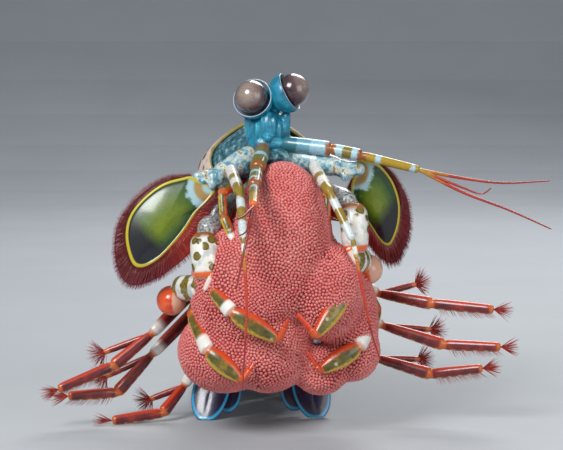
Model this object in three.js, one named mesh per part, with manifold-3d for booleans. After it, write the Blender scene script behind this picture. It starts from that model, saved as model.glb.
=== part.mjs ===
// A brooding female peacock mantis shrimp, life size, standing with her thorax raised and her clutch
// held in front of her. Millimetres, +Z up, floor at Z = 0. She faces -Y; her left side is +X.
import * as THREE from "three";
import { mergeVertices } from "three/addons/utils/BufferGeometryUtils.js";
import Module from "manifold-3d";

const wasm = await Module();
wasm.setup();

// Driving dimensions
const GAP = 0.36; // clearance between neighbouring plates, limbs and eggs
const CARAPACE_LENGTH = 26;
const CARAPACE_HALF_WIDTH = 13.8;
const CARAPACE_THICKNESS = 1.0;
const CARAPACE_WRAP = THREE.MathUtils.degToRad(125); // how far each side wraps below
const THORAX_LENGTHS = [5.5, 5.5, 5.5];
const THORAX_HALF_WIDTHS = [11.2, 11.8, 12.3];
const ABDOMEN_LENGTHS = [9, 10, 10, 10.5, 11.5, 9];
const ABDOMEN_HALF_WIDTHS = [12.8, 13.3, 13.6, 13.8, 13.8, 12.6];
const BODY_DORSAL_HEIGHT = 7.6;
const TELSON_LENGTH = 21.5;
const EYE_RADIUS = 3.6;
const SCALE_THICKNESS = 0.85; // the green paddles of the antennae
const BLADE_THICKNESS = 0.8; // paddles of the tail fan and the swimming legs
const SETA_THICKNESS = 0.55;
const SLIVER = 0.05; // smaller facets than this are merged after a cut
const RIGHT = -1; // her right side, at -X
const LEFT = 1;

const at = (x, y, z) => new THREE.Vector3(x, y, z);
const AXIS_X = at(1, 0, 0);
const AXIS_Y = at(0, 1, 0);
const AXIS_Z = at(0, 0, 1);
const mix = THREE.MathUtils.lerp;
THREE.MathUtils.seededRandom(11);
const vary = (spread) => 1 + spread * (2 * THREE.MathUtils.seededRandom() - 1);

// Shapes: each helper deforms a stock geometry and returns a closed solid.

function solidOf(geometry) {
  const bare = new THREE.BufferGeometry();
  bare.setAttribute("position", geometry.getAttribute("position").clone());
  bare.setIndex(geometry.index.clone());
  const merged = mergeVertices(bare, 1e-4);
  const mesh = new wasm.Mesh({
    numProp: 3,
    vertProperties: merged.getAttribute("position").array,
    triVerts: new Uint32Array(merged.index.array),
  });
  return new wasm.Manifold(mesh);
}

function curveThrough(...points) {
  return points.length === 2
    ? new THREE.LineCurve3(...points)
    : new THREE.CatmullRomCurve3(points, false, "centripetal");
}

// A sphere stretched into a row of rings. Each ring has its point, the direction along the row,
// and its half widths: wide along side, deep across it.
function loft(rings, { sides = 8, side = AXIS_X, shape = (c, s) => [c, s] } = {}) {
  const rows = rings.length + 1;
  const geometry = new THREE.SphereGeometry(1, sides, rows);
  const position = geometry.getAttribute("position");
  for (let i = 0; i < position.count; i++) {
    const row = Math.floor(i / (sides + 1));
    const { point, along, wide, deep } = rings[THREE.MathUtils.clamp(row - 1, 0, rings.length - 1)];
    const spot = point.clone();
    if (row > 0 && row < rows) {
      const across = side.clone().addScaledVector(along, -side.dot(along)).normalize();
      const down = along.clone().cross(across);
      const angle = 2 * Math.PI * (i % (sides + 1)) / sides;
      const [c, s] = shape(-Math.cos(angle), Math.sin(angle));
      spot.addScaledVector(across, wide * c).addScaledVector(down, deep * s);
    }
    position.setXYZ(i, spot.x, spot.y, spot.z);
  }
  return solidOf(geometry);
}

// The same along a curve, with a ring at each station [t, wide, deep].
const tube = (curve, stations, options) => loft(stations.map(([t, wide, deep]) =>
  ({ point: curve.getPointAt(t), along: curve.getTangentAt(t), wide, deep })), options);

// A jointed limb: straight articles between joints, each [start, end] wide, pinched at the joints.
function limb(joints, widths, { flat = 1, side = AXIS_Z, sides = 6 } = {}) {
  const ways = widths.map((_, k) => joints[k + 1].clone().sub(joints[k]).normalize());
  const rings = [];
  const addRing = (point, along, wide) => rings.push({ point, along, wide, deep: wide * flat });
  widths.forEach(([start, end], k) => {
    const before = ways[k - 1] ?? ways[k];
    const pinch = k === 0 ? start * 0.62 : 0.66 * Math.min(start, widths[k - 1][1]);
    addRing(joints[k], ways[k].clone().add(before).normalize(), pinch);
    addRing(joints[k].clone().addScaledVector(ways[k], 0.75 * start), ways[k], start);
    addRing(joints[k + 1].clone().addScaledVector(ways[k], -0.75 * end), ways[k], end);
  });
  addRing(joints.at(-1), ways.at(-1), 0.5 * widths.at(-1)[1]);
  return loft(rings, { side, sides });
}

// One article of a limb: a rounded club from a to b, with the widths at its two ends.
const ARTICLE_PROFILE = [[0, 0.62], [0.12, 0.96], [0.84, 1], [1, 0.6]];

const PLAIN_PROFILE = [[0, 0.6], [0.5, 1.05], [1, 0.6]];

function article(a, b, [start, end], { flat = 1, side = AXIS_Z, sides = 6, bow, profile } = {}) {
  const middle = a.clone().lerp(b, 0.5).add(bow ?? at(0, 0, 0));
  const curve = bow ? curveThrough(a, middle, b) : curveThrough(a, b);
  const stations = (profile ?? ARTICLE_PROFILE).map(([t, r]) => {
    const radius = r * mix(start, end, t);
    return [t, radius, radius * flat];
  });
  return tube(curve, stations, { sides, side });
}

// A feeler: a thin round thread that tapers along a curve.
function feeler(points, start, end, steps) {
  const stations = Array.from({ length: steps + 1 }, (_, k) => {
    const radius = mix(start, end, k / steps);
    return [k / steps, radius, radius];
  });
  return tube(curveThrough(...points), stations, { sides: 4, side: at(0.1, 1, 0.2) });
}

function ellipsoid(centre, radii, sides = 14, rows = 9) {
  const geometry = new THREE.SphereGeometry(1, sides, rows);
  geometry.rotateX(Math.PI / 2).scale(...radii).translate(...centre);
  return solidOf(geometry);
}

// A spine: a small cone from its sunk root to its tip.
function spine(root, tip, radius, sides = 3) {
  const length = root.distanceTo(tip);
  const geometry = new THREE.ConeGeometry(radius, length, sides, 1);
  geometry.translate(0, length / 2, 0);
  const turn = new THREE.Quaternion().setFromUnitVectors(AXIS_Y, tip.clone().sub(root).normalize());
  geometry.applyQuaternion(turn).translate(root.x, root.y, root.z);
  return solidOf(geometry);
}

// A thin plate: a flat pattern laid on a curved surface, split into triangles alike on both faces.
function plate(pattern, pointAt, thicknessAt) {
  const flat = mergeVertices(pattern, 1e-4);
  const spots = flat.getAttribute("position");
  const count = spots.count;
  const corners = new Float32Array(count * 6);
  for (let i = 0; i < count; i++) {
    const [u, v] = [spots.getX(i), spots.getY(i)];
    const middle = pointAt(u, v);
    const step = 1e-3;
    const alongU = pointAt(u + step, v).sub(pointAt(u - step, v));
    const alongV = pointAt(u, v + step).sub(pointAt(u, v - step));
    const normal = alongU.cross(alongV).normalize();
    const half = thicknessAt(u, v) / 2;
    corners.set(middle.clone().addScaledVector(normal, half).toArray(), i * 3);
    corners.set(middle.addScaledVector(normal, -half).toArray(), (count + i) * 3);
  }
  const faces = [];
  const edges = new Set();
  const index = flat.index.array;
  for (let i = 0; i < index.length; i += 3) {
    const [a, b, c] = index.slice(i, i + 3);
    faces.push(a, b, c, count + c, count + b, count + a);
    for (const [p, q] of [[a, b], [b, c], [c, a]]) edges.add(`${p},${q}`);
  }
  for (const edge of edges) {
    const [p, q] = edge.split(",").map(Number);
    if (!edges.has(`${q},${p}`)) faces.push(q, p, count + p, q, count + p, count + q);
  }
  const geometry = new THREE.BufferGeometry();
  geometry.setAttribute("position", new THREE.BufferAttribute(corners, 3));
  geometry.setIndex(faces);
  return solidOf(geometry);
}

// Flat patterns for plates: a grid over -1..1, and a disc of radius 1.
function bareIndexed(geometry) {
  geometry.deleteAttribute("normal");
  geometry.deleteAttribute("uv");
  return geometry;
}

const gridPattern = (columns, rows) => bareIndexed(new THREE.PlaneGeometry(2, 2, columns, rows));

function discPattern(spokes, rings) {
  if (rings === 1) return bareIndexed(new THREE.CircleGeometry(1, spokes));
  const dome = new THREE.SphereGeometry(1, spokes, rings, 0, 2 * Math.PI, 0, Math.PI / 2);
  const spots = dome.getAttribute("position");
  for (let i = 0; i < spots.count; i++) spots.setXYZ(i, spots.getX(i), -spots.getZ(i), 0);
  return bareIndexed(dome);
}

// Adds tapered locks to a pattern: each grows from a stretch of margin [a, b] to a narrow tip [c, d].
function withLocks(pattern, locks) {
  const flat = mergeVertices(pattern, 1e-4);
  const spots = [...flat.getAttribute("position").array];
  const faces = [...flat.index.array];
  for (const { a, b, c, d } of locks) {
    const first = spots.length / 3;
    for (const [u, v] of [a, c, d, b]) spots.push(u, v, 0);
    faces.push(first, first + 1, first + 2, first, first + 2, first + 3);
  }
  const geometry = new THREE.BufferGeometry();
  geometry.setAttribute("position", new THREE.BufferAttribute(new Float32Array(spots), 3));
  geometry.setIndex(faces);
  return geometry;
}

// A disc of the given spokes with a lock on each spoke gap; reachAt(turn) gives its share past the rim.
function fringedDisc(spokes, reachAt, rings = 2) {
  const locks = [];
  const spot = (turn, reach) => [reach * Math.cos(2 * Math.PI * turn), reach * Math.sin(2 * Math.PI * turn)];
  for (let k = 0; k < spokes; k++) {
    const reach = reachAt((k + 0.5) / spokes);
    if (reach <= 0) continue;
    const tip = 1 + reach * vary(0.1);
    locks.push({
      a: spot(k / spokes, 1),
      b: spot((k + 1) / spokes, 1),
      c: spot((k + 0.24) / spokes, tip),
      d: spot((k + 0.68) / spokes, tip),
    });
  }
  return withLocks(discPattern(spokes, rings), locks);
}

// An oval blade from its root to its tip, with a fringe of setae round its outer margin.
// broad is the direction across the blade; crown domes it; fringe is the share of locks past the rim.
function blade({ root, tip, broad, halfWidth, taper = 0.25, crown = 0.6, spokes = 9, fringe = 0.3 }) {
  const length = root.distanceTo(tip);
  const along = tip.clone().sub(root).normalize();
  const across = broad.clone().addScaledVector(along, -broad.dot(along)).normalize();
  const normal = across.clone().cross(along);
  const pointAt = (u, v) => {
    const lift = 1 - u * u - v * v;
    return root.clone()
      .addScaledVector(along, length * (0.5 + 0.5 * v))
      .addScaledVector(across, halfWidth * u * (1 + taper * v))
      .addScaledVector(normal, crown * Math.max(0, lift));
  };
  const pattern = fringedDisc(spokes, (turn) => (turn < 0.53 || turn > 0.97 ? fringe : 0), 1);
  const thickness = (u, v) => (Math.hypot(u, v) > 1.05 ? SETA_THICKNESS : BLADE_THICKNESS);
  return plate(pattern, pointAt, thickness);
}

const joined = (solids) => solids.reduce((whole, next) => whole.add(next));

function geometryOf(solid) {
  const mesh = solid.getMesh();
  const geometry = new THREE.BufferGeometry();
  geometry.setAttribute("position", new THREE.BufferAttribute(mesh.vertProperties.slice(), 3));
  geometry.setIndex(new THREE.BufferAttribute(mesh.triVerts.slice(), 1));
  return geometry;
}

// The largest of the closed surfaces that a join or a cut leaves: no loose chip, no sealed cavity.
function largestSurface(solid) {
  const geometry = geometryOf(solid);
  const corners = geometry.index.array;
  const parent = Array.from({ length: geometry.getAttribute("position").count }, (_, i) => i);
  const rootOf = (i) => {
    let root = i;
    while (parent[root] !== root) root = parent[root];
    parent[i] = root;
    return root;
  };
  for (let i = 0; i < corners.length; i += 3) {
    parent[rootOf(corners[i + 1])] = rootOf(corners[i]);
    parent[rootOf(corners[i + 2])] = rootOf(corners[i]);
  }
  const groups = new Map();
  for (let i = 0; i < corners.length; i += 3) {
    const root = rootOf(corners[i]);
    if (!groups.has(root)) groups.set(root, []);
    groups.get(root).push(corners[i], corners[i + 1], corners[i + 2]);
  }
  if (groups.size === 1) return solid;
  const surfaces = [...groups.values()].map((faces) => new wasm.Manifold(new wasm.Mesh({
    numProp: 3,
    vertProperties: geometry.getAttribute("position").array,
    triVerts: new Uint32Array(faces),
  })));
  return surfaces.reduce((best, next) => (next.volume() > best.volume() ? next : best));
}

// The same solid with its surface moved out by the clearance.
function grown(solid, clearance) {
  const geometry = geometryOf(solid);
  geometry.computeVertexNormals();
  const position = geometry.getAttribute("position");
  const normal = geometry.getAttribute("normal");
  for (let i = 0; i < position.count; i++) {
    position.setXYZ(
      i,
      position.getX(i) + clearance * normal.getX(i),
      position.getY(i) + clearance * normal.getY(i),
      position.getZ(i) + clearance * normal.getZ(i),
    );
  }
  return solidOf(geometry);
}

// Finishes and colours
const finish = (color, roughness, metalness = 0) =>
  new THREE.MeshStandardMaterial({ color, roughness, metalness });
const FINISHES = {
  shell: finish(0x5d7a3c, 0.4),
  head: finish(0x1f8fb0, 0.4),
  cornea: finish(0x9b8a86, 0.2, 0.2),
  antenna: finish(0xb0a040, 0.4),
  paddle: finish(0x5c7a10, 0.35),
  claw: finish(0xe6e2d0, 0.35),
  heel: finish(0xe8542a, 0.3),
  arm: finish(0x7d7a1c, 0.35),
  leg: finish(0x6e1414, 0.4),
  swimmer: finish(0x14204a, 0.35),
  eggs: finish(0xc9605e, 0.45),
};

// The body axis, from the front of the carapace over the bend of the thorax to the tail
const spineCurve = curveThrough(
  at(-1.5, 9.5, 66),
  at(-2.3, 14.5, 55),
  at(-2.6, 17.2, 43),
  at(-2.4, 18.5, 33),
  at(-2.2, 22, 24.5),
  at(-2.0, 29.5, 19),
  at(-1.2, 40, 17.5),
  at(0.3, 60, 17.3),
  at(2.2, 84, 16.2),
);
const SPINE_LENGTH = spineCurve.getLength();
const spineShare = (distance) => THREE.MathUtils.clamp(distance / SPINE_LENGTH, 0, 1);
const spineAt = (distance) => spineCurve.getPointAt(spineShare(distance));
const spineFrame = (distance) => {
  const along = spineCurve.getTangentAt(spineShare(distance));
  return { along, dorsal: AXIS_X.clone().cross(along).normalize() };
};

// Nodes are added parent first. Each new one is cut clear of those before it, and of the floor.
// A neighbour's clearance is taken from its uncut shape, so that the cuts stay simple.
const shrimp = new THREE.Group();
shrimp.name = "mantis_shrimp";
const placed = [];
const floorBlock = solidOf(new THREE.BoxGeometry(400, 400, 40).translate(0, 0, -20));

function meets(one, other) {
  const [a, b] = [one.boundingBox(), other.boundingBox()];
  return [0, 1, 2].every((k) => a.min[k] < b.max[k] && b.min[k] < a.max[k]);
}

function addNode(name, material, shape) {
  let solid = shape;
  for (const other of placed) {
    if (!meets(solid, other.clear)) continue;
    for (const cutter of [other.clear, other.solid]) {
      if (solid.intersect(cutter).volume() > 1e-4) solid = solid.subtract(cutter);
    }
  }
  if (solid.boundingBox().min[2] < 0) solid = solid.subtract(floorBlock);
  solid = largestSurface(solid.simplify(SLIVER));
  placed.push({ solid, clear: grown(shape.simplify(SLIVER), GAP) });
  const mesh = new THREE.Mesh(geometryOf(solid), material);
  mesh.name = name;
  shrimp.add(mesh);
}

// Carapace: a saddle that wraps the front of the body; its front margin recedes towards the sides
const carapaceHalfWidth = (share) =>
  CARAPACE_HALF_WIDTH * (0.38 + 0.62 * Math.sin(Math.min(1, share * 2.4) * Math.PI / 2));
const carapaceHeight = (share) => mix(6.2, 9, Math.min(1, share * 2));

function carapacePoint(u, v) {
  const front = 0.3 * Math.abs(u) ** 1.6;
  const share = mix(front, 1, (1 - v) / 2);
  const distance = share * CARAPACE_LENGTH;
  const { dorsal } = spineFrame(distance);
  const angle = u * CARAPACE_WRAP;
  return spineAt(distance)
    .addScaledVector(AXIS_X, carapaceHalfWidth(share) * Math.sin(angle))
    .addScaledVector(dorsal, carapaceHeight(share) * Math.cos(angle));
}

const carapaceCenterRidge = (u) => 0.35 * Math.exp(-((u / 0.07) ** 2));
addNode("carapace", FINISHES.shell,
  plate(gridPattern(16, 7), carapacePoint, (u) => CARAPACE_THICKNESS + carapaceCenterRidge(u)));

// Rostral plate: the hinged shield over the root of the eyes
function rostralPoint(u, v) {
  const reach = (v + 1) / 2;
  const halfWidth = mix(4.2, 1.2, Math.max(0, reach) ** 1.4);
  return at(-1.2 + u * halfWidth, mix(13.2, 7.6, reach), mix(68.9, 72.6, reach) - 0.9 * u * u);
}
addNode("rostral_plate", FINISHES.shell, plate(gridPattern(4, 3), rostralPoint, () => 0.9));

// Cephalothorax: the body under the carapace, with the brow and the lip that the feelers grow from
const TRUNK_CLEARANCE = 1.25; // from the middle of the carapace wall
const trunk = tube(spineCurve, [0.02, 0.14, 0.28, 0.46, 0.72, 0.985].map((share) => [
  share * CARAPACE_LENGTH / SPINE_LENGTH,
  carapaceHalfWidth(share) - TRUNK_CLEARANCE,
  carapaceHeight(share) - TRUNK_CLEARANCE,
]), { sides: 14 });
const brow = ellipsoid([0.3, 4, 60.3], [8.4, 8, 5], 12, 7);
const lip = ellipsoid([1.2, -0.8, 56.4], [3.4, 4.4, 3.8], 8, 5);
addNode("cephalothorax", FINISHES.head, joined([trunk, brow, lip]));

// Thorax and abdomen: one arched segment each, flat below, wider at its hind rim
const bodySection = (c, s) => {
  if (s <= 0) return [c, s];
  const flank = Math.min(1, s / 0.42);
  return [c, 0.68 * flank * (1 - 0.32 * s * s)];
};

function bodySegment(start, length, halfWidth, height) {
  const stations = [[0, 0.93], [0.14, 0.965], [0.86, 1], [1, 0.97]];
  const near = start + GAP / 2;
  const far = start + length - GAP / 2;
  return tube(
    spineCurve,
    stations.map(([t, size]) => [mix(near, far, t) / SPINE_LENGTH, halfWidth * size, height * size]),
    { sides: 14, shape: bodySection },
  );
}

let reached = CARAPACE_LENGTH;
THORAX_LENGTHS.forEach((length, k) => {
  const segment = bodySegment(reached, length, THORAX_HALF_WIDTHS[k], BODY_DORSAL_HEIGHT - 0.3);
  addNode(`thorax_${k + 6}`, FINISHES.shell, segment);
  reached += length;
});
const ABDOMEN_START = reached;
ABDOMEN_LENGTHS.forEach((length, k) => {
  const segment = bodySegment(reached, length, ABDOMEN_HALF_WIDTHS[k], BODY_DORSAL_HEIGHT);
  addNode(`abdomen_${k + 1}`, FINISHES.shell, segment);
  reached += length;
});

// Telson: a ridged plate that slopes to the floor, with six teeth on its margin
const telsonRoot = spineAt(reached).add(at(0, 0.6, 0.4));
const telsonTip = telsonRoot.clone().add(at(0.8, TELSON_LENGTH * 0.7, -TELSON_LENGTH * 0.72));
const telsonAlong = telsonTip.clone().sub(telsonRoot).normalize();
const telsonUp = AXIS_X.clone().cross(telsonAlong).normalize();
const telsonHalfWidth = (reach) => 8.6 + 3.4 * Math.sin(Math.PI * Math.min(1, reach * 1.25)) - 3.2 * reach ** 3;

function telsonPoint(u, v) {
  const reach = (1 - v) / 2;
  return telsonRoot.clone().lerp(telsonTip, reach)
    .addScaledVector(AXIS_X, u * telsonHalfWidth(reach))
    .addScaledVector(telsonUp, 1.6 - 2.2 * u * u);
}
const TELSON_RIDGES = [0, 0.36, -0.36, 0.72, -0.72];
const telsonThickness = (u, v) => {
  const ridge = Math.max(...TELSON_RIDGES.map((r) => Math.exp(-(((u - r) / 0.1) ** 2))));
  return Math.max(0.6, 1.5 + 0.9 * ridge * (1 - v ** 4));
};
const telsonTeeth = [0, 2, 4, 6, 7, 9, 11, 13].map((k) => {
  const [from, to] = [k / 7 - 1, (k + 1) / 7 - 1];
  const middle = (from + to) / 2;
  return { a: [from, -1], b: [to, -1], c: [middle - 0.012, -1.24], d: [middle + 0.012, -1.24] };
});
addNode("telson", FINISHES.shell,
  plate(withLocks(gridPattern(14, 4), telsonTeeth), telsonPoint, telsonThickness));

// Uropods: a stout root with its spine, a two-part outer blade and an oval inner blade

function uropod(side) {
  const hip = spineAt(reached - 2.5).add(at(side * 8.8, 0, -4.2));
  const knee = hip.clone().add(at(side * 3.6, 7, -4.6));
  const elbow = knee.clone().add(at(side * 3.4, 7.6, -4.4));
  const flat = at(1, 0, 0.12 * -side);
  return joined([
    article(hip, knee, [2.7, 2.5], { flat: 0.75, side: AXIS_X, sides: 7, profile: PLAIN_PROFILE }),
    spine(knee.clone().add(at(side * -1.6, -1.5, 0)), knee.clone().add(at(side * -1.2, 8, -4.4)), 1.1, 4),
    article(knee.clone().add(at(0, -1.5, 0.3)), elbow, [2.4, 2.8],
      { flat: 0.4, side: AXIS_X, profile: PLAIN_PROFILE }),
    ...[0.3, 0.62, 0.92].map((t) => {
      const foot = knee.clone().lerp(elbow, t).addScaledVector(AXIS_X, side * 1.7);
      return spine(foot, foot.clone().add(at(side * 1.8, 2.4, -0.5)), 0.6);
    }),
    blade({ root: elbow.clone().add(at(0, -1.4, 0.5)), tip: elbow.clone().add(at(side * 3.2, 9, -3.2)),
      broad: flat, halfWidth: 3.2, crown: 0.4, fringe: 0.5 }),
    blade({ root: knee.clone().add(at(side * -1, -0.8, 0)), tip: knee.clone().add(at(side * 0.4, 13, -7)),
      broad: flat, halfWidth: 2.7, crown: 0.4, fringe: 0.42 }),
  ]);
}
addNode("uropod_r", FINISHES.swimmer, uropod(RIGHT));
addNode("uropod_l", FINISHES.swimmer, uropod(LEFT));

// Head: the small turning front of the head, blue, with an ear-like process on each side
const face = ellipsoid([-0.4, 2.2, 66.6], [4.1, 6.4, 4.6], 12, 8);
const faceCrest = ellipsoid([-0.4, -2.6, 67.2], [1.9, 2.2, 3.4], 8, 5);
const chin = ellipsoid([-0.3, -0.6, 63.6], [4.6, 3.4, 2.2], 10, 5);
const earRight = article(at(-3.4, 1.5, 63.2), at(-4.9, 0.4, 70.3), [1.3, 0.9], { flat: 1.9, side: AXIS_X });
const earLeft = article(at(2.6, 1.5, 64), at(3.7, 0.4, 70.8), [1.2, 0.9], { flat: 1.9, side: AXIS_X });
addNode("head", FINISHES.head, joined([face, faceCrest, chin, earRight, earLeft]));

// Eyes: a round cornea in the bowl of a blue cup on a short neck. gaze is where the cornea looks.
function addEye(tag, centre, gaze, neck) {
  const look = gaze.normalize();
  const cornea = ellipsoid(centre.toArray(), [EYE_RADIUS, EYE_RADIUS, EYE_RADIUS], 14, 9);
  addNode(`eye_${tag}`, FINISHES.cornea, cornea);
  const bowl = EYE_RADIUS + 0.68;
  const bowlRadius = (depth) => Math.sqrt(bowl * bowl - depth * depth);
  const axis = new THREE.LineCurve3(centre, centre.clone().addScaledVector(look, -6));
  const profile = [[bowl, 0.01], [3.3, bowlRadius(3.3)], [1.3, bowlRadius(1.3)],
    [1, 4.45], [2.8, 4.2], [5.5, 1.8]];
  const cup = tube(axis, profile.map(([depth, radius]) => [depth / 6, radius, radius]),
    { sides: 12, side: at(0.2, 0.1, 1) });
  const back = centre.clone().addScaledVector(look, -5.1);
  const stalk = article(neck, back, [1.5, 1.7], { side: AXIS_Y });
  addNode(`eyestalk_${tag}`, FINISHES.head, joined([cup, stalk]));
}
addEye("r", at(-4.1, -3, 73.8), at(-0.3, -0.88, 0.36), at(-1.5, 1.2, 69.6));
addEye("l", at(5, -1, 75.2), at(0.86, -0.26, 0.44), at(0.8, 1.4, 69.8));

// Antennae: a thick root, a jointed banded arm and its thread, and the great paddle
function antenna({ root, ball, arm, thread }) {
  const bend = root.clone().lerp(ball, 0.45).add(at(0, -0.4, 0.3));
  return joined([
    article(root, ball, [3.3, 2.3], { sides: 8, bow: bend.clone().sub(root.clone().lerp(ball, 0.5)) }),
    ellipsoid(ball.toArray(), [2.3, 2.2, 2.3], 8, 5),
    limb([...arm, thread[0]], [[1.5, 1.15], [1.05, 0.85], [0.6, 0.55]]),
    feeler(thread, 0.55, 0.3, 5),
  ]);
}
addNode("antenna_r", FINISHES.antenna, antenna({
  root: at(-2.4, 0.5, 61), ball: at(-12.2, -4, 56.2),
  arm: [at(-8.6, -4.4, 58.4), at(-6.2, -20, 54.3), at(-5.4, -27.5, 45.8)],
  thread: [at(-5.2, -28.3, 42), at(-4.7, -28.4, 31), at(-5.2, -27.2, 21), at(-5.7, -26, 13.6)],
}));
addNode("antenna_l", FINISHES.antenna, antenna({
  root: at(4.6, 0.5, 60.4), ball: at(16, -4, 58.2),
  arm: [at(9.4, -3.4, 59), at(12.7, -17.5, 54.2), at(17.4, -23, 44.8)],
  thread: [at(18.2, -23.5, 41), at(19.9, -23, 32), at(21.6, -20.5, 24.5), at(23.6, -18, 18.2)],
}));

// A paddle: a domed plate inside a measured outline, with locks of setae on its margin.
// locks lists how far they reach past the margin, in even steps round the outline.
function antennalScale({ outline, crown, locks }) {
  const rim = new THREE.CatmullRomCurve3(outline.map((spot) => at(...spot)), true, "centripetal");
  const centre = outline.reduce((sum, spot) => sum.add(at(...spot)), at(0, 0, 0));
  centre.divideScalar(outline.length);
  const normal = at(...outline[0]).sub(centre).cross(at(...outline[3]).sub(centre)).normalize();
  const turnOf = (u, v) => (Math.atan2(v, u) / (2 * Math.PI) + 1) % 1;
  const pointAt = (u, v) => {
    const reach = Math.hypot(u, v);
    const past = Math.max(0, reach - 1);
    return centre.clone().lerp(rim.getPointAt(turnOf(u, v)), reach)
      .addScaledVector(normal, crown * Math.max(0, 1 - reach * reach))
      .addScaledVector(AXIS_Z, -2 * past);
  };
  const reachAt = (turn) => {
    const spot = turn * (locks.length - 1);
    const k = Math.floor(spot);
    const length = mix(locks[k], locks[k + 1], spot - k);
    return length / rim.getPointAt(turn).distanceTo(centre);
  };
  const thickness = (u, v) => (Math.hypot(u, v) > 1.02 ? SETA_THICKNESS : SCALE_THICKNESS);
  return plate(fringedDisc(26, reachAt), pointAt, thickness);
}
addNode("antennal_scale_r", FINISHES.paddle, antennalScale({
  outline: [
    [-17.4, -4.6, 56.7], [-23.2, -4.9, 55], [-28, -5.6, 51.3], [-30.4, -6.1, 48], [-31.2, -6.7, 44.7],
    [-30.8, -7.4, 40.8], [-29.3, -8, 37.5], [-27.5, -8, 37.2], [-24.4, -7.8, 38.8], [-21.4, -7.2, 41.7],
    [-18.5, -6.6, 45.2], [-15.9, -5.9, 49.1], [-13.6, -5.6, 51.3], [-11.9, -5.1, 53.9],
  ],
  crown: 1.2,
  locks: [0.8, 1.7, 1.9, 2.1, 3, 4.4, 5, 5, 4.8, 4.4, 3.4, 0, 0],
}));
addNode("antennal_scale_l", FINISHES.paddle, antennalScale({
  outline: [
    [19.2, -3.6, 60.4], [23, -3.3, 59.6], [26.2, -2.1, 56.3], [28, -0.7, 52.1], [28.5, 0.7, 48.3],
    [27.8, 2.4, 43.5], [26.3, 3.4, 40.7], [24.9, 3.2, 41.3], [22.7, 2.1, 44.4], [20.8, 1, 47.4],
    [18.9, -0.3, 51], [17.8, -1.1, 53.3],
  ],
  crown: 1.1,
  locks: [0.7, 1.1, 1.6, 2, 2.8, 4.4, 5.4, 5, 4.2, 3, 1.6, 0, 0],
}));

// Antennules: three stout articles and three threads
function antennule(joints, widths, threads) {
  const hairs = threads.map((points) => feeler([joints.at(-1), ...points], 0.55, 0.28, 4));
  return joined([limb(joints, widths, { sides: 6 }), ...hairs]);
}
const ANTENNULE_WIDTHS = [[1.9, 1.65], [1.45, 1.35], [1.15, 0.9]];
addNode("antennule_l", FINISHES.antenna, antennule(
  [at(2.4, -1.4, 63.6), at(13.2, -5, 62.6), at(19.7, -6.4, 61.3), at(32.2, -8, 58.3)],
  ANTENNULE_WIDTHS,
  [
    [at(42, -8, 56.4), at(50, -8.6, 55.5), at(60.3, -9, 56)],
    [at(41.5, -10, 54.6), at(45.5, -11.4, 53.4), at(47.4, -12, 54.8)],
    [at(41.4, -9.6, 53.6), at(51, -11.5, 50), at(60.2, -14, 46)],
  ],
));
addNode("antennule_r", FINISHES.antenna, antennule(
  [at(-1.4, -2, 62.8), at(-2.7, -14, 58.9), at(-3.2, -22, 55.9), at(-3.2, -33, 52.9)],
  ANTENNULE_WIDTHS,
  [
    [at(-4, -36.5, 52.3), at(-5.2, -39.5, 51.4), at(-7.2, -42, 50.9)],
    [at(-3.8, -37, 51), at(-4.7, -39.5, 48.2), at(-6.1, -40.5, 47.6)],
    [at(-4.1, -37, 48.4), at(-5.2, -39, 43.5), at(-6.6, -39, 36.5)],
  ],
));

// Raptorial claws: merus with its saddle, spotted carpus, banded propodus, and the hammer
function addClaw(tag, side, { shoulder, saddle, wrist, palm, heel }) {
  addNode(`merus_${tag}`, FINISHES.claw, joined([
    article(shoulder, saddle, [3.6, 3.9], { flat: 0.8, sides: 8, side: AXIS_Z }),
    article(shoulder.clone().add(at(side * 1.6, -8, -3.4)), saddle.clone().add(at(side * 2.2, 1.2, -2.4)),
      [1.8, 1.5]),
  ]));
  addNode(`carpus_${tag}`, FINISHES.claw, joined([
    article(saddle.clone().add(at(side * 0.3, -2.2, 0.8)), wrist, [3.3, 2.9],
      { flat: 0.88, sides: 10, side: AXIS_X, bow: at(0, -1, 0) }),
  ]));
  addNode(`propodus_${tag}`, FINISHES.claw, joined([
    article(wrist.clone().add(at(side * -0.8, 0.8, -1.2)), palm, [2.9, 2.8],
      { flat: 0.85, sides: 9, side: AXIS_Z, bow: at(0, 0, -0.5) }),
    ...[0.3, 0.5, 0.7].map((t) => {
      const foot = wrist.clone().lerp(palm, t).add(at(0, 1, -1.6));
      return spine(foot, foot.clone().add(at(side * 0.3, 1.5, -1.3)), 0.5, 4);
    }),
  ]));
  addNode(`dactyl_${tag}`, FINISHES.heel, joined([
    ellipsoid(heel.toArray(), [3.5, 3.2, 3.3], 10, 7),
    article(heel.clone().add(at(side * -0.8, 1.2, 0.4)), wrist.clone().add(at(side * 1.2, 5, -3)),
      [1.7, 0.5], { flat: 0.6, bow: at(0, 1.2, -0.6) }),
  ]));
}
addClaw("r", RIGHT, {
  shoulder: at(-8.6, 12, 50), saddle: at(-13.9, -8.4, 43.9), wrist: at(-13.6, -14, 35.2),
  palm: at(-20.4, -4.4, 32.4), heel: at(-21.6, -4, 29.6),
});
addClaw("l", LEFT, {
  shoulder: at(6.4, 12, 52), saddle: at(17.6, -7.2, 50.2), wrist: at(18.4, -12.4, 40.6),
  palm: at(20.6, -3.6, 38.4), heel: at(21.4, -3.4, 36.4),
});

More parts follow.
